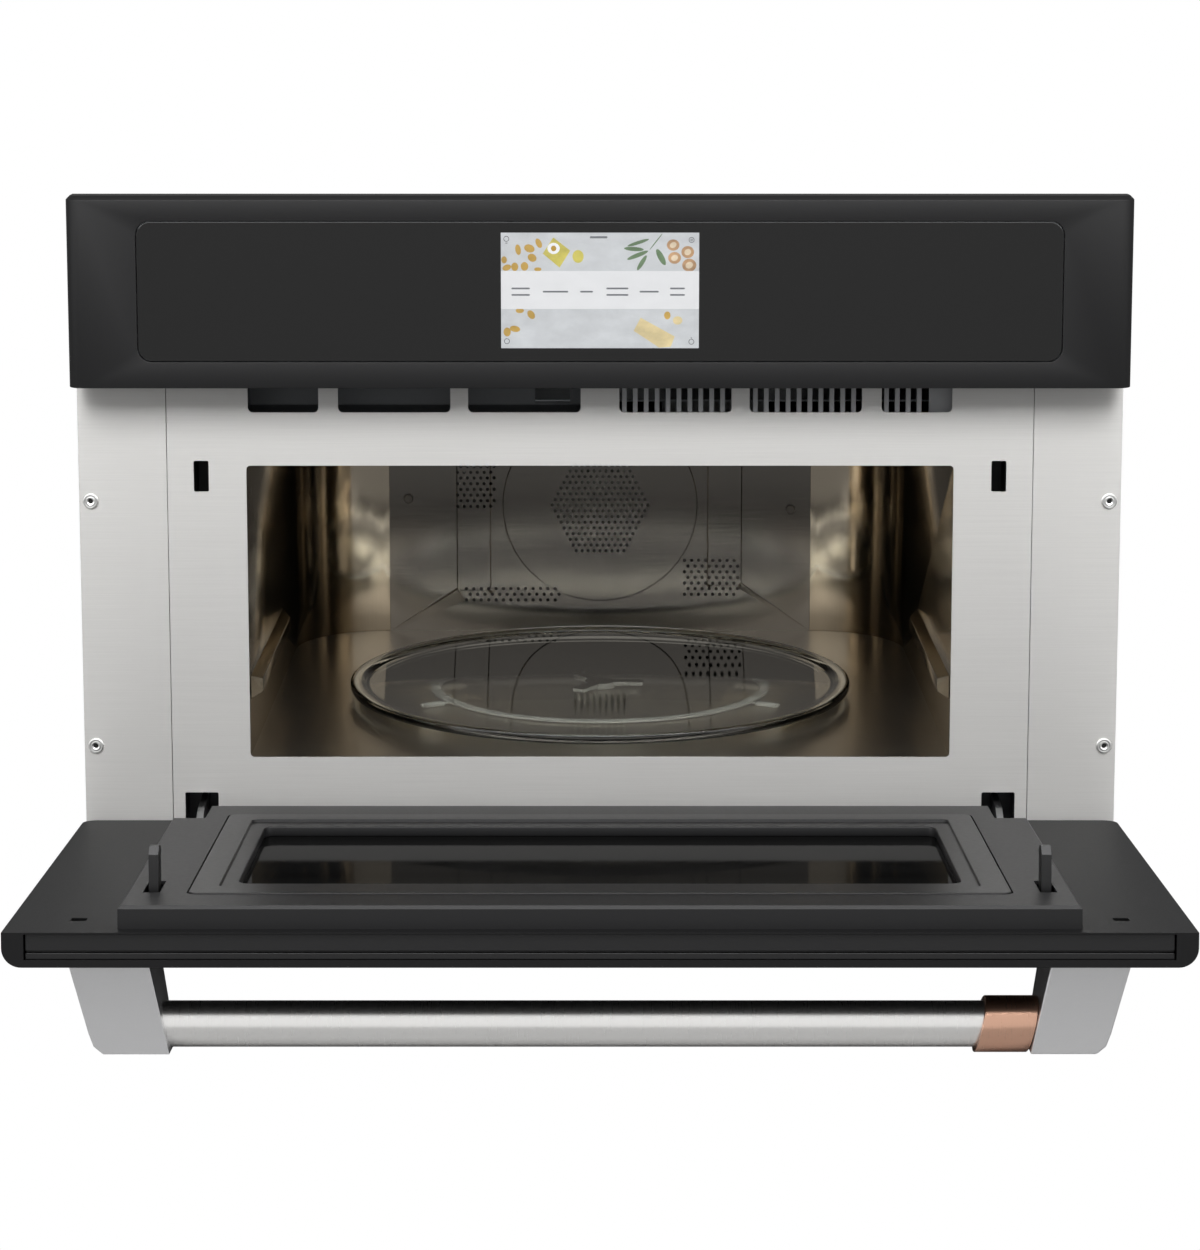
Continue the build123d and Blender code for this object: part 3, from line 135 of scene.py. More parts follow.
def body_of(node):
    """The body that a CAD node belongs to."""
    return frame["nodes"][node]["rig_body"]


def new_piece(name, mesh, material, sharp=35):
    """An object from a bmesh, smooth except on its flat faces and at turns of more than sharp degrees."""
    for line in mesh.edges:
        line.smooth = line.is_manifold and line.calc_face_angle(0) < math.radians(sharp)
    data = bpy.data.meshes.new(name)
    mesh.to_mesh(data)
    mesh.free()
    data.materials.append(material)
    piece = bpy.data.objects.new(name, data)
    scene.collection.objects.link(piece)
    return piece


def smooth_curved(mesh, sharp=35):
    """Marks as smooth the faces that turn a little into a neighbour, so that flat faces stay flat."""
    least = math.radians(0.3)
    for face in mesh.faces:
        turns = [line.calc_face_angle(0) for line in face.edges if line.is_manifold]
        face.smooth = any(least < turn < math.radians(sharp) for turn in turns)


def dress(node, material, edge=0.25, segments=2, sharp=35):
    """The piece as built, with its facets joined and every sharp edge eased by edge in mm."""
    mesh = bmesh.new()
    mesh.from_mesh(frame["nodes"][node].data)
    bmesh.ops.remove_doubles(mesh, verts=mesh.verts, dist=0.002 * MM)
    bmesh.ops.dissolve_limit(mesh, angle_limit=math.radians(0.2), verts=mesh.verts, edges=mesh.edges)
    smooth_curved(mesh, sharp)
    if edge:
        corners = [line for line in mesh.edges
                   if line.is_manifold and line.calc_face_angle(0) > math.radians(sharp)]
        eased = bmesh.ops.bevel(mesh, geom=corners, offset=edge * MM, offset_type="OFFSET", segments=segments,
                                profile=0.5, affect="EDGES", clamp_overlap=True)
        for face in eased["faces"]:
            face.smooth = True
    bmesh.ops.recalc_face_normals(mesh, faces=mesh.faces)
    return settle(new_piece(node + "_look", mesh, material, sharp=75), body_of(node), [node])


# The brushing spreads each highlight across its scratches into a soft gradient. Real scratches are
# finer than the render can show, so they are drawn 0.7 mm apart and about 80 mm long.
brushed = surface("stainless steel, brushed side to side", "d2d1cf", 0.48, (0.012, 1.0, 1.4), metallic=1.0,
                  shade=0.09, vary=0.06, bump=0.002, brushing=0.9)
dress("face_frame", brushed, edge=0.3)

# Side trims. Stainless angle strips over the cut edge of the cabinet, one on each side, brushed
# like the frame and screwed through two bushings each.
for trim in ("side_trim_left", "side_trim_right"):
    dress(trim, brushed, edge=0.3)

# Screw bushings. Turned zinc-plated steel with a countersunk hole and a raised ring on the head,
# pressed into the trims' four holes.


def lathe(profile, centre, axis, steps=48):
    """A closed ring of (radius, distance along axis) points in metres turned round an axis."""
    mesh = bmesh.new()
    turned = Vector(axis).to_track_quat("Z", "Y").to_matrix().to_4x4()
    place = Matrix.Translation(Vector(centre)) @ turned
    rings = []
    for step in range(steps):
        angle = 2 * math.pi * step / steps
        ring = []
        for radius, along in profile:
            if radius < 1e-7:
                ring.append(rings[0][len(ring)] if rings else mesh.verts.new(place @ Vector((0, 0, along))))
            else:
                point = Vector((radius * math.cos(angle), radius * math.sin(angle), along))
                ring.append(mesh.verts.new(place @ point))
        rings.append(ring)
    count = len(profile)
    for step in range(steps):
        here = rings[step]
        there = rings[(step + 1) % steps]
        for index in range(count):
            corners = [here[index], there[index], there[(index + 1) % count], here[(index + 1) % count]]
            face = list(dict.fromkeys(corners))
            if len(face) > 2:
                mesh.faces.new(face)
    bmesh.ops.recalc_face_normals(mesh, faces=mesh.faces)
    for face in mesh.faces:
        face.smooth = True
    return mesh


def joined(meshes):
    """Several bmeshes as one."""
    whole = bmesh.new()
    for mesh in meshes:
        data = bpy.data.meshes.new("part")
        mesh.to_mesh(data)
        mesh.free()
        whole.from_mesh(data)
        bpy.data.meshes.remove(data)
    return whole


# the four holes stand this far to each side, and this far above and below the middle
bushing_x = 0.3694
bushing_z = 0.0909
# radius and depth in mm: countersink, raised ring, edge of the head, then the shank behind it
bushing_profile = [
    (1.82, -1.0), (2.5, -1.45), (2.9, -1.58), (3.6, -1.35), (4.0, -1.32), (4.5, -1.55), (5.1, -1.5),
    (5.6, -1.1), (5.78, -0.6), (5.78, -0.02), (3.33, -0.02), (3.33, 3.4), (1.82, 3.4)]
bore_r = 1.9 * MM
bore_thick = 0.5 * MM
bore_profile = [(0.0, 0.0), (bore_r, 0.0), (bore_r, bore_thick), (0.0, bore_thick)]
heads = []
bores = []
for side in (-1, 1):
    for level in (-1, 1):
        middle = (side * bushing_x, 0, level * bushing_z)
        heads.append(lathe([(r * MM, y * MM) for r, y in bushing_profile], middle, (0, 1, 0), steps=40))
        bores.append(lathe(bore_profile, middle, (0, 1, 0), steps=24))
# Bright zinc is pale and shiny. Its crystals are too fine to show, so they are drawn 0.5 mm wide.
zinc = surface("steel, bright zinc plated", "f2f2f0", 0.3, (2.0, 2.0, 2.0), metallic=1.0, shade=0.03)
bushings = new_piece("mounting_bushings_look", joined(heads), zinc)
settle(bushings, "oven", ["mounting_bushings"])
# No light comes back out of the empty bores, so a near black disc, a painted shadow, stands across each.
bore_painted_shadow = surface("painted shadow in the bore, near black", "050505", 0.6, (1.0, 1.0, 1.0))
bore = new_piece("mounting_bushings_bore_shadows", joined(bores), bore_painted_shadow)
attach(bore, "oven")

# Control panel. Folded steel shell, powder coated in a fine matte black, with a chamfered top edge
# and rounded ends; the touch glass sits in its front.
# The fine texture of the coat scatters most of its shine, so it looks an even, soft black; the
# dimples are drawn 1.2 mm wide.
powder = surface("steel, fine matte black powder coat", "101011", 0.5, (0.8, 0.8, 0.8), shine=0.3, shade=0.04,
                 vary=0.05, bump=0.006)
dress("control_fascia", powder, edge=0.5, segments=3, sharp=25)

# Touch glass. Toughened glass printed black on its back, clear only over the display, with
# polished edges and rounded corners; bonded to the chassis.
display_half_x = 0.0701
display_low = 0.2072
display_high = 0.2896
# The print looks deep black under sharp, faint reflections, and wiping leaves smears 20 to 30 mm
# wide that blur them a little.
glass = bpy.data.materials.new("toughened glass, black print behind")
glass.use_nodes = True
tree = glass.node_tree
place = add(tree, "ShaderNodeTexCoord")
split = add(tree, "ShaderNodeSeparateXYZ", links={"Vector": place.outputs["Object"]})
across = add(tree, "ShaderNodeMath", {"operation": "ABSOLUTE"}, {0: split.outputs["X"]})
inside_x = add(tree, "ShaderNodeMath", {"operation": "LESS_THAN", 1: display_half_x}, {0: across.outputs[0]})
above_low = add(tree, "ShaderNodeMath", {"operation": "GREATER_THAN", 1: display_low},
                {0: split.outputs["Z"]})
below_high = add(tree, "ShaderNodeMath", {"operation": "LESS_THAN", 1: display_high},
                 {0: split.outputs["Z"]})
both = add(tree, "ShaderNodeMath", {"operation": "MULTIPLY"},
           {0: inside_x.outputs[0], 1: above_low.outputs[0]})
window = add(tree, "ShaderNodeMath", {"operation": "MULTIPLY"},
             {0: both.outputs[0], 1: below_high.outputs[0]})
tone = add(tree, "ShaderNodeMix", {"data_type": "RGBA"}, {"Factor": window.outputs[0]})
tone.inputs["A"].default_value = linear("1d1d1d")
tone.inputs["B"].default_value = linear("ffffff")
finish = tree.nodes["Principled BSDF"]
finish.inputs["IOR"].default_value = 1.52
smear = grain_in_mm(tree, (0.05, 0.05, 0.03))
wipe = add(tree, "ShaderNodeMapRange", {"To Min": 0.03, "To Max": 0.09}, {"Value": smear})
printed = add(tree, "ShaderNodeMath", {"operation": "SUBTRACT", 0: 1.0}, {1: window.outputs[0]})
rough = add(tree, "ShaderNodeMath", {"operation": "MULTIPLY"},
            {0: wipe.outputs["Result"], 1: printed.outputs[0]})
tree.links.new(tone.outputs["Result"], finish.inputs["Base Color"])
tree.links.new(rough.outputs[0], finish.inputs["Roughness"])
tree.links.new(window.outputs[0], finish.inputs["Transmission Weight"])
dress("touch_glass", glass, edge=0.5, segments=3)

# Display. A colour liquid crystal module in a dark frame behind the touch glass. It shows a pale
# marbled ground with a picture in flat coloured shapes, a light band with six menu marks, a short
# line at the top and a mark in each corner.


def lit(name, colour, strength=1.0, cloud=0.0):
    """A colour of the lit display, marbled 20 mm wide and 11 mm high where cloud is above nought."""
    material = bpy.data.materials.new(name)
    material.use_nodes = True
    tree = material.node_tree
    finish = tree.nodes["Principled BSDF"]
    finish.inputs["Base Color"].default_value = linear("101010")
    finish.inputs["Roughness"].default_value = 0.4
    cloudy = grain_in_mm(tree, (0.05, 0.05, 0.09), 5.0)
    level = add(tree, "ShaderNodeMapRange", {"From Min": 0.3, "From Max": 0.7, "To Min": 1 - cloud,
                                             "To Max": 1 + cloud / 3}, {"Value": cloudy})
    base = linear(colour)
    tint = add(tree, "ShaderNodeVectorMath", {"operation": "SCALE", 0: base[:3]},
               {"Scale": level.outputs["Result"]})
    tree.links.new(tint.outputs["Vector"], finish.inputs["Emission Color"])
    finish.inputs["Emission Strength"].default_value = strength
    return material


def plate_mesh(points, y_front, y_back):
    """A flat outline in XZ, in metres, made solid between two depths."""
    mesh = bmesh.new()
    front = [mesh.verts.new((x, y_front, z)) for x, z in points]
    rear = [mesh.verts.new((x, y_back, z)) for x, z in points]
    mesh.faces.new(front)
    mesh.faces.new(rear[::-1])
    for index in range(len(points)):
        after = (index + 1) % len(points)
        mesh.faces.new([front[index], rear[index], rear[after], front[after]])
    bmesh.ops.recalc_face_normals(mesh, faces=mesh.faces)
    return mesh


def round_rect(x_mid, z_mid, width, height, r, steps=6):
    """Corner points of a rounded rectangle."""
    points = []
    for quarter, (sx, sz) in enumerate(((1, 1), (-1, 1), (-1, -1), (1, -1))):
        for step in range(steps + 1):
            angle = math.pi / 2 * (quarter + step / steps)
            points.append((x_mid + sx * (width / 2 - r) + r * math.cos(angle),
                           z_mid + sz * (height / 2 - r) + r * math.sin(angle)))
    return points


low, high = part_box("display_module")
module_outline = round_rect(0, (low.z + high.z) / 2, high.x - low.x, high.z - low.z, 1 * MM)
# The moulded frame is dull and black, so that only the screen shows through the glass.
module_black = surface("display frame, black plastic", "121212", 0.5, (1.0, 1.0, 1.0))
module = new_piece("display_module_look", plate_mesh(module_outline, low.y + 0.5 * MM, high.y), module_black)
settle(module, "oven", ["display_module"])
screen_y = low.y
screen_mid = (display_low + display_high) / 2
screen_height = display_high - display_low
band_low = 0.2352
band_high = 0.2622
band_mid = (band_low + band_high) / 2
# The lit colours glow evenly, each at about its written shade, and some are softly clouded.
ground = lit("display ground, pale marble", "d2d5d8", 1.0, 0.14)
light_band = lit("display band, white", "e9eaec", 1.0, 0.04)
ink = lit("display marks, dark grey", "3b3f45", 0.8)
pale = lit("display marks, white", "f7f8fa", 1.0)


def on_screen(name, outlines, layer, material):
    """Flat marks drawn one layer in front of another, 0.03 mm apart."""
    depth = screen_y + (0.4 - 0.03 * layer) * MM
    marks = joined([plate_mesh(outline, depth, depth + 0.02 * MM) for outline in outlines])
    piece = new_piece(name, marks, material)
    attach(piece, "oven")
    return piece


def blob(x, z, half_x, half_z, turn=0.0, steps=20):
    """Corner points of an oval in mm, turned in degrees, as metres."""
    points = []
    for step in range(steps):
        angle = 2 * math.pi * step / steps
        u = half_x * math.cos(angle)
        v = half_z * math.sin(angle)
        lean = math.radians(turn)
        points.append(((x + u * math.cos(lean) - v * math.sin(lean)) * MM,
                       (z + u * math.sin(lean) + v * math.cos(lean)) * MM))
    return points


screen = round_rect(0, screen_mid, 2 * display_half_x, screen_height, 0.4 * MM)
on_screen("display_ground", [screen], 0, ground)
# each oval: middle across and up, half width and half height in mm, and its turn in degrees
gold_ovals = [
    (-57.9, 277.3, 2.0, 3.8, 10), (-49.9, 278.2, 3.8, 2.8, -20), (-48.0, 271.6, 3.3, 2.7, -35),
    (-43.3, 281.9, 2.0, 3.6, 25), (-67.8, 270.1, 2.0, 2.5, 0), (-65.9, 264.6, 3.2, 2.1, 20),
    (-60.3, 265.2, 2.5, 3.0, 0), (-53.4, 265.5, 2.7, 3.1, 0), (-44.0, 263.4, 2.6, 1.4, 0),
    (-56.8, 234.0, 2.9, 1.8, 0), (-48.8, 231.1, 2.4, 3.4, 35), (-65.8, 218.8, 2.6, 3.2, 0),
    (-60.3, 221.0, 3.7, 2.2, -10), (47.7, 230.6, 2.3, 2.8, 0)]
gold = lit("display picture, gold", "d3ac55", 0.95, 0.3)
on_screen("display_gold", [blob(*oval) for oval in gold_ovals], 1, gold)
on_screen("display_yellow", [
    [(-33.0 * MM, 286.0 * MM), (-40.5 * MM, 274.5 * MM), (-28.6 * MM, 264.6 * MM), (-21.0 * MM, 276.6 * MM)],
    blob(-15.5, 272.5, 4.0, 4.6)], 1, lit("display picture, yellow", "d9cd62", 0.95, 0.4))
on_screen("display_rim", [blob(-32.8, 278.2, 4.4, 4.0)], 2, pale)
on_screen("display_drop", [blob(-32.8, 278.2, 1.9, 2.0)], 3, lit("display picture, amber", "c29a2e", 0.9))
leaves = [
    (27.0, 282.3, 8.0, 1.2, 18), (24.0, 277.8, 7.0, 1.5, -4), (26.6, 273.4, 8.0, 1.5, 22),
    (29.6, 268.0, 6.2, 1.5, 58), (43.1, 272.0, 6.4, 2.1, -62), (39.6, 283.0, 7.4, 0.4, 52)]
green = lit("display picture, green", "6f8a66", 0.95, 0.35)
on_screen("display_leaves", [blob(*leaf) for leaf in leaves], 2, green)
nuts = [(51.7, 280.6, 4.5, 4.0), (62.0, 275.6, 4.5, 4.3), (52.7, 271.5, 4.6, 4.2), (63.1, 266.3, 5.0, 4.6)]
on_screen("display_nuts", [blob(*nut) for nut in nuts], 1, lit("display picture, tan", "c9a077", 0.95, 0.5))
on_screen("display_cores", [blob(x, z, a * 0.55, b * 0.5, 30) for x, z, a, b in nuts], 2,
          lit("display picture, cream", "ecd9bd", 0.95, 0.3))
wedge = [(28.8, 229.0), (53.0, 215.6), (50.2, 208.2), (42.0, 207.6), (23.8, 219.6)]
on_screen("display_wedge", [[(x * MM, z * MM) for x, z in wedge], blob(55.0, 227.0, 3.4, 3.0)], 1,
          lit("display picture, straw", "eddaa6", 0.95, 0.25))
on_screen("display_band", [round_rect(0, band_mid, 2 * display_half_x, band_high - band_low, 0.2 * MM, 2)], 4,
          light_band)
# middle and width of each menu mark along the band in mm, and whether it has two lines
menu = [(-56.2, 13.0, True), (-31.5, 18.0, False), (-9.5, 9.0, False), (12.3, 15.5, True),
        (34.8, 13.5, False), (54.8, 10.5, True)]
lines = []
for middle, width, double in menu:
    for drop in ((2.3, -2.3) if double else (0.0,)):
        level = band_mid + (drop - 1.2) * MM
        lines.append(round_rect(middle * MM, level, width * MM, 1.2 * MM, 0.55 * MM, 3))
lines.append(round_rect(-1.0 * MM, display_high - 3.5 * MM, 12.5 * MM, 1.5 * MM, 0.7 * MM, 3))
on_screen("display_menu", lines, 5, lit("display marks, mid grey", "75797e", 0.9))


def hoop(x, z, r, wall, steps=28):
    """A flat ring in XZ, given in mm, as small four-sided outlines in metres."""
    turns = [2 * math.pi * s / steps for s in range(steps + 1)]
    outer = [(x + r * math.sin(turn), z + r * math.cos(turn)) for turn in turns]
    inner = [(x + (r - wall) * math.sin(turn), z + (r - wall) * math.cos(turn)) for turn in turns]
    quads = []
    for s in range(steps):
        quads.append([outer[s], outer[s + 1], inner[s + 1], inner[s]])
    return [[(u * MM, v * MM) for u, v in quad] for quad in quads]


corner_marks = []
for mark_x, mark_z in ((-66.2, 285.0), (64.7, 284.2), (-66.0, 212.2), (64.8, 211.8)):
    corner_marks += hoop(mark_x, mark_z, 2.0, 0.4)
corner_marks += hoop(64.7, 284.2, 0.8, 0.35)
corner_marks.append(round_rect(-66.2 * MM, 282.0 * MM, 1.6 * MM, 0.5 * MM, 0.2 * MM, 2))
corner_marks.append(round_rect(64.8 * MM, 214.5 * MM, 1.0 * MM, 0.5 * MM, 0.2 * MM, 2))
on_screen("display_corners", corner_marks, 5, ink)

# Panel chassis. Folded tray of galvanised steel inside the control panel; the touch glass is bonded
# to its front and the display sits behind that.
# Zinc sets in spangles about 6 mm wide, so the grey metal looks patchy and half dull.
galvanised = surface("steel, galvanised", "a9adb0", 0.42, (0.16, 0.16, 0.16), metallic=1.0, shade=0.12,
                     vary=0.1, bump=0.002)
dress("panel_chassis", galvanised, edge=0.2)

# Control board. Glass-fibre laminate under a green mask, with its larger components standing on it,
# screwed behind the display.
# The mask is a fairly glossy dark green, mottled 1.7 mm wide by what lies under it.
laminate = surface("glass-fibre board, green mask", "1d4a33", 0.35, (0.6, 0.6, 0.6), shade=0.25)
dress("control_board", laminate, edge=0.2)

# Vent grille. Moulded grey plastic behind the right three slots: upright fins, with a blank panel
# at the outer end; it clips to the frame's back.
# Spark texture makes it an even, dull grey. It is too fine to show, so it is drawn 0.5 mm wide.
grey_plastic = surface("moulded plastic, mid grey", "8f9092", 0.5, (2.0, 2.0, 2.0))
dress("vent_grille", grey_plastic, edge=0.25)

# Air duct. Folded box of galvanised steel behind the left three slots of the frame, which has gone
# dull inside.
# Dulled zinc is darker and flatter than new sheet, with the same spangles about 6 mm wide.
duct_steel = surface("steel, galvanised and dulled", "6f7173", 0.5, (0.16, 0.16, 0.16), metallic=1.0,
                     shade=0.12, vary=0.1)
dress("air_duct", duct_steel, edge=0.2)

# Casing. The wrap, the base pan with its pressed runners, the rear panel with louvres and the
# shelf over the cavity are all folded from galvanised sheet and screwed together.
dress("outer_wrap", galvanised, edge=0.25)
dress("base_pan", galvanised, edge=0.3)
dress("rear_panel", galvanised, edge=0.25)
dress("service_deck", galvanised, edge=0.2)

# Cavity walls. Polished stainless wrapper bent round the rear corners, with a pressed ledge on each
# side and upright drawing marks.
# It is a warm mirror, blurred a little by its marks. They are finer than the render can show, so
# they are drawn 1.1 mm apart and 50 mm long.
polished = surface("stainless steel, polished", "bdb2a0", 0.13, (0.9, 0.9, 0.02), metallic=1.0,
                   shade=0.06, vary=0.05, bump=0.002)
dress("cavity_shell", polished, edge=0.3, segments=3)

# Cavity floor and ceiling. The same polished sheet, spot welded to the wrapper, its marks from side
# to side; the ceiling is slotted under the lamps.
# Use has dulled the flat sheets, so they blur what they mirror more than the walls do. The marks are
# drawn as coarse as on the walls.
flat_polished = surface("stainless steel, polished floor", "d6cfc4", 0.3, (0.02, 0.9, 0.9), metallic=1.0,
                        shade=0.06, vary=0.05, bump=0.002)
dress("cavity_floor", flat_polished, edge=0.2)
dress("cavity_ceiling", flat_polished, edge=0.2)

# Rear guard. Polished stainless sheet, pressed forward in a disc over the fan and in two upright
# strips, punched with round holes in a hexagon and three smaller fields, held by two screws.
fan_z = 0.0108
wall_y = 0.449
wall_half = 0.1813
wall_low = -0.0995
wall_high = 0.1169
wall_thick = 1.1 * MM
hole_r = 1.45 * MM
screw_hole_r = 2.1 * MM
press = 0.9 * MM
slope = 0.9 * MM
disc_r = 0.084
# upright strips: left and right edge, and the height of their foot
strips = [(-0.1236, -0.0940, -0.0643), (0.0924, 0.1224, -0.0600)]
foot_r = 4 * MM
strip_gap = 1 * MM


def pressed(x, z):
    """How far the sheet is pressed forward at a place: fully in the disc and in the two strips."""
    inward = disc_r - math.hypot(x, z - fan_z)
    for left, right, foot in strips:
        inward = max(inward, min(x - left, right - x, z - foot))
    return press * min(max(inward / slope, 0.0), 1.0)


def strip_outline(strip, shrink, steps=6):
    """Outline of a pressed strip, round at its foot, that stops just under the top of the wall."""
    left, right, foot = strip
    left, right, foot = left + shrink, right - shrink, foot + shrink
    r = foot_r - shrink
    top = wall_high - strip_gap - shrink
    points = [(right, top), (left, top)]
    for middle, start in ((left + r, math.pi), (right - r, 1.5 * math.pi)):
        for step in range(steps + 1):
            angle = start + math.pi / 2 * step / steps
            points.append((middle + r * math.cos(angle), foot + r + r * math.sin(angle)))
    return points


def ring_points(x, z, r, steps):
    """Points round a circle in XZ."""
    return [(x + r * math.cos(2 * math.pi * s / steps), z + r * math.sin(2 * math.pi * s / steps))
            for s in range(steps)]


def middle_of(loop):
    """Mean of a loop's points."""
    return (sum(p[0] for p in loop) / len(loop), sum(p[1] for p in loop) / len(loop))


def punched_sheet(name, outline, holes, lines, height, thick, material):
    """A sheet facing the viewer with holes, and with lines kept as edges so that height can press it."""
    points = []
    edges = []
    loops = [outline] + holes + lines
    for loop in loops:
        first = len(points)
        points += [Vector(p) for p in loop]
        edges += [(first + i, first + (i + 1) % len(loop)) for i in range(len(loop))]
    made = geometry.delaunay_2d_cdt(points, edges, [], 1, 1e-7)
    mesh = bmesh.new()
    verts = [mesh.verts.new((p.x, height(p.x, p.y), p.y)) for p in made[0]]
    hole_middles = [middle_of(loop) for loop in holes]
    reach = [max(abs(p[0] - m[0]) for p in loop) for loop, m in zip(holes, hole_middles)]
    for face in made[2]:
        u = sum(made[0][i].x for i in face) / len(face)
        v = sum(made[0][i].y for i in face) / len(face)
        if not any(math.hypot(u - m[0], v - m[1]) < r for m, r in zip(hole_middles, reach)):
            mesh.faces.new([verts[i] for i in face])
    mesh.verts.ensure_lookup_table()
    loose = [v for v in mesh.verts if not v.link_faces]
    bmesh.ops.delete(mesh, geom=loose, context="VERTS")
    for face in mesh.faces:
        face.normal_update()
        if face.normal.y > 0:
            face.normal_flip()
    rim = [e for e in mesh.edges if e.is_boundary]
    grown = bmesh.ops.extrude_edge_only(mesh, edges=rim)
    for item in grown["geom"]:
        if isinstance(item, bmesh.types.BMVert):
            item.co.y += thick
    return new_piece(name, mesh, material, sharp=30)


# the hexagon in mm: rows up and down from its middle one, which is the longest
row_pitch = 4.98
column_pitch = 5.15
half_rows = 8
longest_row = 17
hole_places = []
for row in range(-half_rows, half_rows + 1):
    count = longest_row - abs(row)
    for column in range(count):
        hole_places.append(((column - (count - 1) / 2) * column_pitch, row * row_pitch))
# the smaller fields in mm: first hole from the fan's centre, columns and their pitch, rows going up
for first_x, first_z, columns, pitch, rows in (
        (-122.6, -1.1, 6, 5.72, 8), (-115.5, -83.2, 13, 6.4, 3), (73.0, -78.3, 8, 6.1, 7)):
    for row in range(rows):
        for column in range(columns):
            hole_places.append((first_x + pitch * column + pitch / 2 * (row % 2), first_z + row_pitch * row))
hole_loops = [ring_points(x * MM, fan_z + z * MM, hole_r, 10) for x, z in hole_places]
screw_places = [(-0.165, 0.0166), (0.164, 0.0073)]
hole_loops += [ring_points(x, z, screw_hole_r, 16) for x, z in screw_places]
press_lines = [ring_points(0, fan_z, disc_r, 96), ring_points(0, fan_z, disc_r - slope, 96)]
for strip in strips:
    press_lines += [strip_outline(strip, 0.0), strip_outline(strip, slope)]
wall_outline = [(-wall_half, wall_low), (wall_half, wall_low),
                (wall_half, wall_high), (-wall_half, wall_high)]
# The same polished steel as the walls, with shade painted into its colour: it is much darker than theirs, so
# it mirrors the open front darkly and the pressed edges stand out. Its marks run from side to side, drawn as
# coarse as on the walls.
shaded_wall_steel = surface("stainless steel, polished and pressed, painted shade", "7a7670", 0.15, (0.02, 0.9, 0.9), metallic=1.0,
                     shade=0.07, vary=0.05, bump=0.002)
guard = punched_sheet("rear_guard_look", wall_outline, hole_loops, press_lines,
                      lambda x, z: wall_y - pressed(x, z), wall_thick, shaded_wall_steel)
settle(guard, "oven", ["rear_guard"])

# Guard and casing screws. Pan-head steel screws, zinc plated and driven into the sheet.
# The zinc is drawn a dark grey, darker than fresh zinc, with a soft shine. Its bloom is too fine to show, so
# it is drawn 0.5 mm wide.
screw_steel = surface("steel, zinc plated, dark grey", "5a5753", 0.35, (2.0, 2.0, 2.0), metallic=1.0)
dress("screws", screw_steel, edge=0.6)

# Fan oven housing. Aluminised steel box, pressed round its edge and spot welded behind the guard,
# round the fan and the ring heater.
# The coating is a pale, dull grey, clouded about 3 mm wide.
aluminised = surface("steel, aluminised", "8f8c88", 0.45, (0.3, 0.3, 0.3), metallic=1.0, shade=0.1)
dress("convection_housing", aluminised, edge=0.4)

# Ring heater. Sheathed heating element of nickel alloy, bent to a ring round the fan inside its
# housing.
# Heat has blued the sheath in patches about 12 mm long, so it looks dark and uneven.
sheath = surface("nickel alloy sheath, heat blued", "4e4a4d", 0.4, (0.08, 0.08, 0.08), metallic=1.0,
                 shade=0.3, vary=0.1)
dress("ring_heater", sheath, edge=0.2, sharp=50)

# Convection fan and its motor. Pressed stainless wheel with twelve blades and an inlet ring, pinned
# to the shaft of a shaded-pole motor in a black painted can.
# Pressing leaves the steel half bright, with a faint mottling 2.5 mm wide.
fan_steel = surface("stainless steel, pressed", "a5a39f", 0.3, (0.4, 0.4, 0.4), metallic=1.0)
dress("convection_fan", fan_steel, edge=0.3)
# The paint is plain black with a low shine and ripples 1.7 mm wide.
can = surface("steel can, black paint", "2a2a2c", 0.45, (0.6, 0.6, 0.6))
dress("convection_motor", can, edge=0.8)

# Upper heater. Three halogen lamps in quartz tubes, set under a reflector folded from polished
# aluminium.
# Bright rolling leaves nearly a mirror, blurred along lines that are drawn 1.2 mm apart so that they
# show.
bright = surface("aluminium, bright rolled", "d9d9d8", 0.2, (0.02, 0.8, 0.8), metallic=1.0)
dress("lamp_reflector", bright, edge=0.2)
# Fused quartz is clear, and seen mostly by its small sharp highlights.
quartz = surface("fused quartz", "ffffff", 0.04, (0.1, 0.1, 0.1), ior=1.46, shade=0.02, vary=0.02, clear=0.9)
dress("quartz_lamps", quartz, edge=0.3)

# Microwave feed. Folded waveguide welded over the ceiling, the mica sheet that closes it below and
# the magnetron with its cooling fins on top.
dress("waveguide", galvanised, edge=0.2)
# Mica is a silky pale brown, patchy in flakes about 4 mm wide.
mica = surface("mica sheet", "b9ab8c", 0.45, (0.25, 0.25, 0.25), ior=1.58, shade=0.15)
dress("waveguide_cover", mica, edge=0.15)
# Nickel plating is a warm grey with a soft shine, clouded 2 mm wide.
yoke = surface("steel yoke, nickel plated", "b4b0a6", 0.35, (0.5, 0.5, 0.5), metallic=1.0)
dress("magnetron", yoke, edge=0.25)

# Power transformer. Core stacked from steel laminations, with windings of enamelled copper, dipped
# whole in brown varnish.
# The laminations are 0.5 mm thick and show as fine lines through the varnish, which lets some of the
# metal's shine through.
varnish = surface("laminated steel, brown varnish", "5d4a3c", 0.45, (0.02, 2.0, 0.02), metallic=0.6, ior=2.0,
                  shade=0.3, bump=0.05)
dress("power_transformer", varnish, edge=0.4)

# Cooling blower. Scroll folded from galvanised sheet, with a squirrel-cage wheel of 18 vanes and
# the motor that turns it.
dress("blower_housing", galvanised, edge=0.3)
# Rolled aluminium is light grey and half dull, clouded 2 mm wide.
vane_metal = surface("aluminium wheel, rolled", "b9babb", 0.4, (0.5, 0.5, 0.5), metallic=1.0)
dress("blower_wheel", vane_metal, edge=0.15)
dress("blower_motor", can, edge=0.8)

# Turntable motor. Flat synchronous motor in a zinc plated steel can, fixed under the cavity floor,
# with the drive coupler on its shaft.
dress("turntable_motor", screw_steel, edge=0.6)

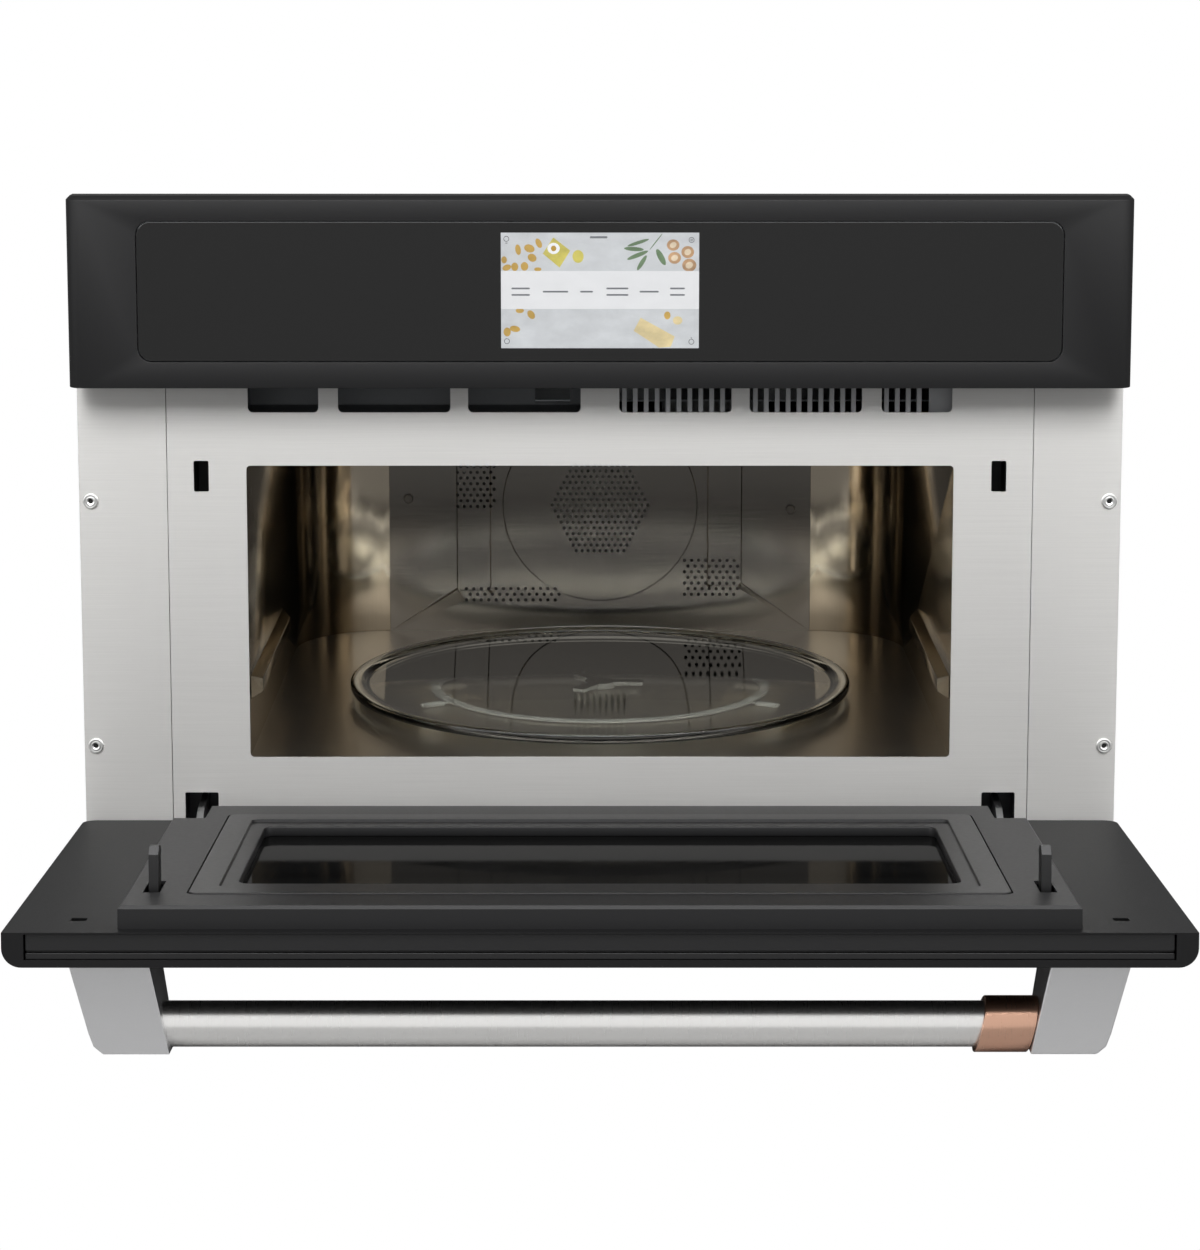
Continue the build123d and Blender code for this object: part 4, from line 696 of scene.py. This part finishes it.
# Drive coupler and roller ring. Pale heat-resistant plastic: a three-armed coupler on the motor's
# shaft, and a thin ring whose three spindles carry the rollers.
# The plastic is matte and nearly white, with a moulding texture drawn 1.2 mm wide so that it shows.
pale_plastic = surface("moulded plastic, pale grey", "d6d3cc", 0.45, (0.8, 0.8, 0.8), shade=0.03)
dress("drive_coupler", pale_plastic, edge=0.5, segments=3)
dress("roller_ring", pale_plastic, edge=0.3)

# Rollers. Three wheels turned from the same plastic, slightly crowned and free on their spindles;
# the tray rides on them.
tray_y = 0.210
roller_z = -0.09585
roller_path_r = 0.150
# radius and distance along the spindle in mm
roller_profile = [(1.25, -8.5), (2.9, -8.5), (3.3, -8.1), (3.45, -6.0), (3.48, 0.0), (3.45, 6.0), (3.3, 8.1),
                  (2.9, 8.5), (1.25, 8.5)]
for number in range(3):
    turn = math.radians(90 + 120 * number)
    out = Vector((math.cos(turn), math.sin(turn), 0))
    wheel = lathe([(r * MM, along * MM) for r, along in roller_profile],
                  Vector((0, tray_y, roller_z)) + out * roller_path_r, out, steps=32)
    node = "roller_%d" % (number + 1)
    settle(new_piece(node + "_look", wheel, pale_plastic), body_of(node), [node])

# Turntable tray. Pressed borosilicate glass with a raised, rounded rim over a shallow foot ring,
# resting on the rollers.
tray_under = -0.0922
# radius and height over the tray's underside in mm
tray_profile = [
    (0.0, 0.0), (182.5, 0.0), (184.2, -0.5), (185.6, -1.3), (187.2, -1.58), (194.4, -1.58), (196.6, -0.9),
    (197.7, 0.9), (197.9, 3.8), (197.6, 5.3), (196.6, 5.98), (195.0, 5.98), (190.6, 5.8), (188.2, 5.3),
    (186.2, 4.4), (184.2, 3.4), (181.5, 3.15), (0.0, 3.15)]
tray_points = [(r * MM, z * MM) for r, z in tray_profile]
# Pressed glass is clear, seen by its rim and by waves about 50 mm wide in what it mirrors.
tray_glass = surface("borosilicate glass", "eef2f0", 0.03, (0.02, 0.02, 0.02), ior=1.47, shade=0.01,
                     vary=0.01, clear=1.0)
tray_mesh = lathe(tray_points, (0, tray_y, tray_under), (0, 0, 1), steps=160)
tray = new_piece("turntable_tray_look", tray_mesh, tray_glass, sharp=50)
settle(tray, "turntable", ["turntable_tray"])

# Latch housings and door switches. Moulded black plastic boxes behind the frame's latch slots, each
# with two snap switches screwed to its side.
# Spark texture leaves the black half dull. It is too fine to show, so it is drawn 0.5 mm wide.
black_plastic = surface("moulded plastic, black", "1b1b1c", 0.45, (2.0, 2.0, 2.0))
dress("latch_housings", black_plastic, edge=0.5)
dress("door_switches", black_plastic, edge=0.4)

# Hinge receivers and levers. Pressed and zinc plated steel; each lever hooks into its receiver and
# carries the door on the pin at its eye.
# Under its film of grease the zinc is a mid grey, clouded 2 mm wide.
hinge_steel = surface("steel, zinc plated and greased", "9a9b9c", 0.35, (0.5, 0.5, 0.5), metallic=1.0,
                      shade=0.1)
# Phosphating leaves charcoal with a low shine, part metal and part oxide skin, whose IOR this is.
dark_hinge = surface("steel, dark phosphated", "3a3a3c", 0.45, (0.5, 0.5, 0.5), metallic=0.8, ior=2.2)
dress("hinge_receivers", dark_hinge, edge=0.3)
dress("hinge_arms", hinge_steel, edge=0.5)

# Insulation. Needled blankets of mineral wool, yellow-grey, wrapped round the cavity inside the
# casing.
# The wool has no shine, and its tufts, about 3 mm wide, catch small shadows.
wool = surface("mineral wool", "b8a878", 0.95, (0.3, 0.3, 0.3), shade=0.3, bump=0.6)
dress("insulation", wool, edge=1.5)

# Door skin. Deep-drawn steel pan with rounded sides, powder coated in the same matte black as the
# control panel, and cut out for the outer window.
dress("door_skin", powder, edge=0.4, segments=3, sharp=25)

# Door top trim. Strip moulded from satin black plastic, let into the door's upper edge, with a long
# air slot.
# The satin face shows one soft highlight. Its texture is too fine to show, so it is drawn 0.5 mm wide.
satin_plastic = surface("moulded plastic, satin black", "161617", 0.42, (2.0, 2.0, 2.0))
dress("door_top_trim", satin_plastic, edge=0.4)

# Outer window. Toughened glass with a surround printed black on its back, clipped into the skin from
# behind.
# The dark pane mirrors sharply, with smears of wiping about 30 mm wide.
outer = surface("toughened glass, dark", "0c0c0d", 0.05, (0.03, 0.03, 0.03), ior=1.52, shade=0.02, vary=0.02)
dress("outer_window", outer, edge=0.5, segments=3)

# Door liner. Pressed steel tray in baked charcoal enamel, with bevelled edges, notches over the
# hinges and slots for the latch hooks.
# The enamel has a soft, low shine and an orange peel about 3 mm wide.
enamel = surface("steel, charcoal enamel", "222223", 0.42, (0.3, 0.3, 0.3), shine=0.35, shade=0.03, vary=0.04)
dress("door_liner", enamel, edge=0.5, segments=3, sharp=25)

# Choke plate. Stepped and pressed frame round the window, enamelled like the liner but smoother,
# held by a flange behind the liner.
# The smoother enamel is a shade darker and shines more clearly, with the same width of orange peel.
smooth_enamel = surface("steel, dark smooth enamel", "1e1e1f", 0.36, (0.3, 0.3, 0.3), shade=0.03, vary=0.04,
                        bump=0.003)
dress("choke_plate", smooth_enamel, edge=0.6, segments=3)

# Inner glass and microwave screen. Dark tinted heat-resistant glass over a black steel screen with
# 1.5 mm holes at a pitch of 2.2 mm, seen faintly through it.
# The pane is nearly black, and the holes show through it as faint dots. Its anti-reflection coating
# takes most of the shine away, so the specular level is very low.
screen_pitch = 0.0022
inner = bpy.data.materials.new("heat-resistant glass over a punched screen")
inner.use_nodes = True
tree = inner.node_tree
place = add(tree, "ShaderNodeTexCoord")
cells = add(tree, "ShaderNodeTexVoronoi", {"Scale": 1 / screen_pitch, "Randomness": 0.0},
            {"Vector": place.outputs["Object"]})
hole = add(tree, "ShaderNodeMapRange", {"From Min": 0.30, "From Max": 0.36},
           {"Value": cells.outputs["Distance"]})
tint = add(tree, "ShaderNodeMix", {"data_type": "RGBA"}, {"Factor": hole.outputs["Result"]})
tint.inputs["A"].default_value = linear("040404")
tint.inputs["B"].default_value = linear("0f0f0f")
finish = tree.nodes["Principled BSDF"]
finish.inputs["IOR"].default_value = 1.52
finish.inputs["Specular IOR Level"].default_value = 0.008
smear = grain_in_mm(tree, (0.05, 0.05, 0.05))
wipe = add(tree, "ShaderNodeMapRange", {"To Min": 0.03, "To Max": 0.08}, {"Value": smear})
tree.links.new(tint.outputs["Result"], finish.inputs["Base Color"])
tree.links.new(wipe.outputs["Result"], finish.inputs["Roughness"])
dress("inner_glass", inner, edge=0.4)
# Black oxide leaves the screen dull and nearly black, part metal and part oxide, whose IOR this is.
screen_steel = surface("steel, black oxide, punched", "202020", 0.5, (0.5, 0.5, 0.5), metallic=0.7, ior=2.2)
dress("window_screen", screen_steel, edge=0.1)

# Hinge brackets and latch clevises. Folded zinc plated steel inside the door, with riveted pins for
# the hinge levers and for the latch hooks.
dress("hinge_brackets", hinge_steel, edge=0.4)
dress("latch_pivots", hinge_steel, edge=0.3)

# Latch hooks. Sintered steel levers, blackened in steam and sprung on their pins inside the door;
# they stand out through the liner.
# Steam leaves charcoal with a soft shine and a grain drawn 1 mm wide so that it shows. It is part
# metal and part oxide skin, whose IOR this is.
hook_steel = surface("sintered steel, steam blackened", "242425", 0.4, (1.0, 1.0, 1.0), metallic=0.6, ior=2.2,
                     bump=0.01)
for hook in ("latch_hook_left", "latch_hook_right"):
    dress(hook, hook_steel, edge=0.9, segments=3, sharp=20)

# Handle brackets. Cast zinc with a satin plating, leaning inwards, tapered to the tip and rounded
# on every edge; each bolted through the door skin from inside.
# Bead blasting spreads one broad, pale highlight over it. The beads' marks are too fine to show, so
# they are drawn 0.8 mm wide.
satin = surface("cast zinc, satin plated", "dfdfe0", 0.34, (1.2, 1.2, 1.2), metallic=1.0, shade=0.03,
                bump=0.003)
for bracket in ("handle_bracket_left", "handle_bracket_right"):
    dress(bracket, satin, edge=1.6, segments=4, sharp=20)

# Handle bar. Stainless tube brushed round and round, with a small chamfer at each end, plugged into
# both brackets.
bar_r = 14.7 * MM
bar_chamfer = 0.5 * MM
low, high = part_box("handle_bar")
bar_mid = (low + high) / 2
bar_half = (high.x - low.x) / 2
bar_profile = [(0.0, -bar_half), (bar_r - bar_chamfer, -bar_half), (bar_r, -bar_half + bar_chamfer)]
bar_profile += [(bar_r, bar_half - bar_chamfer), (bar_r - bar_chamfer, bar_half), (0.0, bar_half)]
# Brushing gives it a bright line with soft sides. Its rings are too fine to show, so they are drawn
# 0.4 mm apart.
tube = surface("stainless tube, brushed", "f2f1ef", 0.28, (2.4, 0.05, 0.05), metallic=1.0, shade=0.02,
               vary=0.02, bump=0.0)
bar = new_piece("handle_bar_look", lathe(bar_profile, bar_mid, (1, 0, 0), steps=96), tube)
settle(bar, body_of("handle_bar"), ["handle_bar"])

# Handle collar. Copper sleeve over the bar's right end, its ends cut parallel to the bracket,
# brushed and lacquered.
# The lacquer lays a thin gloss over the warm metal. Its rings of brushing are drawn 0.5 mm apart so
# that they show.
copper = surface("copper, brushed and lacquered", "dcae95", 0.28, (2.0, 0.05, 0.05), metallic=1.0,
                 shade=0.03, vary=0.02, bump=0.0, coat=0.4)
dress("handle_collar", copper, edge=0.7, segments=3)

# Floor and backdrop of the photo studio. Plain matte paper, laid level under the oven and run on
# out of sight.
# The camera sees plain white, and the oven's metal sees the paper's grey, which darkens its underside.
floor_low = -0.2145
floor_half = 30.0
floor_mesh = bmesh.new()
bmesh.ops.create_grid(floor_mesh, x_segments=1, y_segments=1, size=floor_half)
bmesh.ops.translate(floor_mesh, verts=floor_mesh.verts, vec=(0, 0, floor_low))
paper = bpy.data.materials.new("matte white paper")
paper.use_nodes = True
tree = paper.node_tree
tree.nodes.remove(tree.nodes["Principled BSDF"])
path = add(tree, "ShaderNodeLightPath")
sheet = add(tree, "ShaderNodeBsdfDiffuse", {"Color": linear("acacac")})
glow = add(tree, "ShaderNodeEmission", {"Color": (1, 1, 1, 1), "Strength": 1.0})
mixed = add(tree, "ShaderNodeMixShader",
            links={0: path.outputs["Is Camera Ray"], 1: sheet.outputs[0], 2: glow.outputs[0]})
tree.links.new(mixed.outputs[0], tree.nodes["Material Output"].inputs["Surface"])
floor = new_piece("studio_floor", floor_mesh, paper)

# Studio light. A surround that is white to the camera, and to the oven a pale grey that is brightest
# in front of it, with three large soft boxes: one close above the front and one to each side.
world = bpy.data.worlds.new("studio surround")
world.use_nodes = True
tree = world.node_tree
path = add(tree, "ShaderNodeLightPath")
way = add(tree, "ShaderNodeTexCoord")
ahead = add(tree, "ShaderNodeVectorMath", {"operation": "DOT_PRODUCT", 1: (0.0, -0.97, 0.24)},
            {0: way.outputs["Generated"]})
rise = add(tree, "ShaderNodeMapRange", {"From Min": 0.1, "From Max": 0.9, "To Min": 0.34, "To Max": 0.85},
           {"Value": ahead.outputs["Value"]})
white = add(tree, "ShaderNodeMix", {"data_type": "FLOAT", "B": 1.0},
            {"Factor": path.outputs["Is Camera Ray"], "A": rise.outputs["Result"]})
tree.links.new(white.outputs["Result"], tree.nodes["Background"].inputs["Strength"])
tree.nodes["Background"].inputs["Color"].default_value = (1, 1, 1, 1)
scene.world = world
# place, aim, width, height in metres and power in watts
for name, spot, aim, wide, tall, watts in (
        ("top box", (0.0, -0.58, 0.58), (0.0, 0.0, 0.12), 1.8, 0.3, 9.5),
        ("left box", (-2.2, -1.0, 0.7), (0.0, 0.1, 0.0), 1.2, 1.6, 9.0),
        ("right box", (2.2, -1.0, 0.7), (0.0, 0.1, 0.0), 1.2, 1.6, 7.0)):
    lamp = bpy.data.lights.new(name, "AREA")
    lamp.shape = "RECTANGLE"
    lamp.size = wide
    lamp.size_y = tall
    lamp.energy = watts
    box = bpy.data.objects.new(name, lamp)
    box.location = spot
    box.rotation_euler = (Vector(aim) - Vector(spot)).to_track_quat("-Z", "Y").to_euler()
    scene.collection.objects.link(box)

# Camera. It stands in front of the oven and a little above it, looks slightly down through a long
# lens, and has its picture shifted downwards to hold the open door.
look_down = 8.27
lens = bpy.data.cameras.new("camera")
lens.lens = 96.46
lens.sensor_width = 36.0
lens.shift_y = -0.165
lens.clip_start = 0.05
lens.clip_end = 100.0
camera = bpy.data.objects.new("camera", lens)
camera.location = (0.0, -2.396, 0.4995)
camera.rotation_euler = (math.radians(90 - look_down), 0.0, 0.0)
scene.collection.objects.link(camera)
scene.camera = camera
scene.view_settings.view_transform = "Standard"
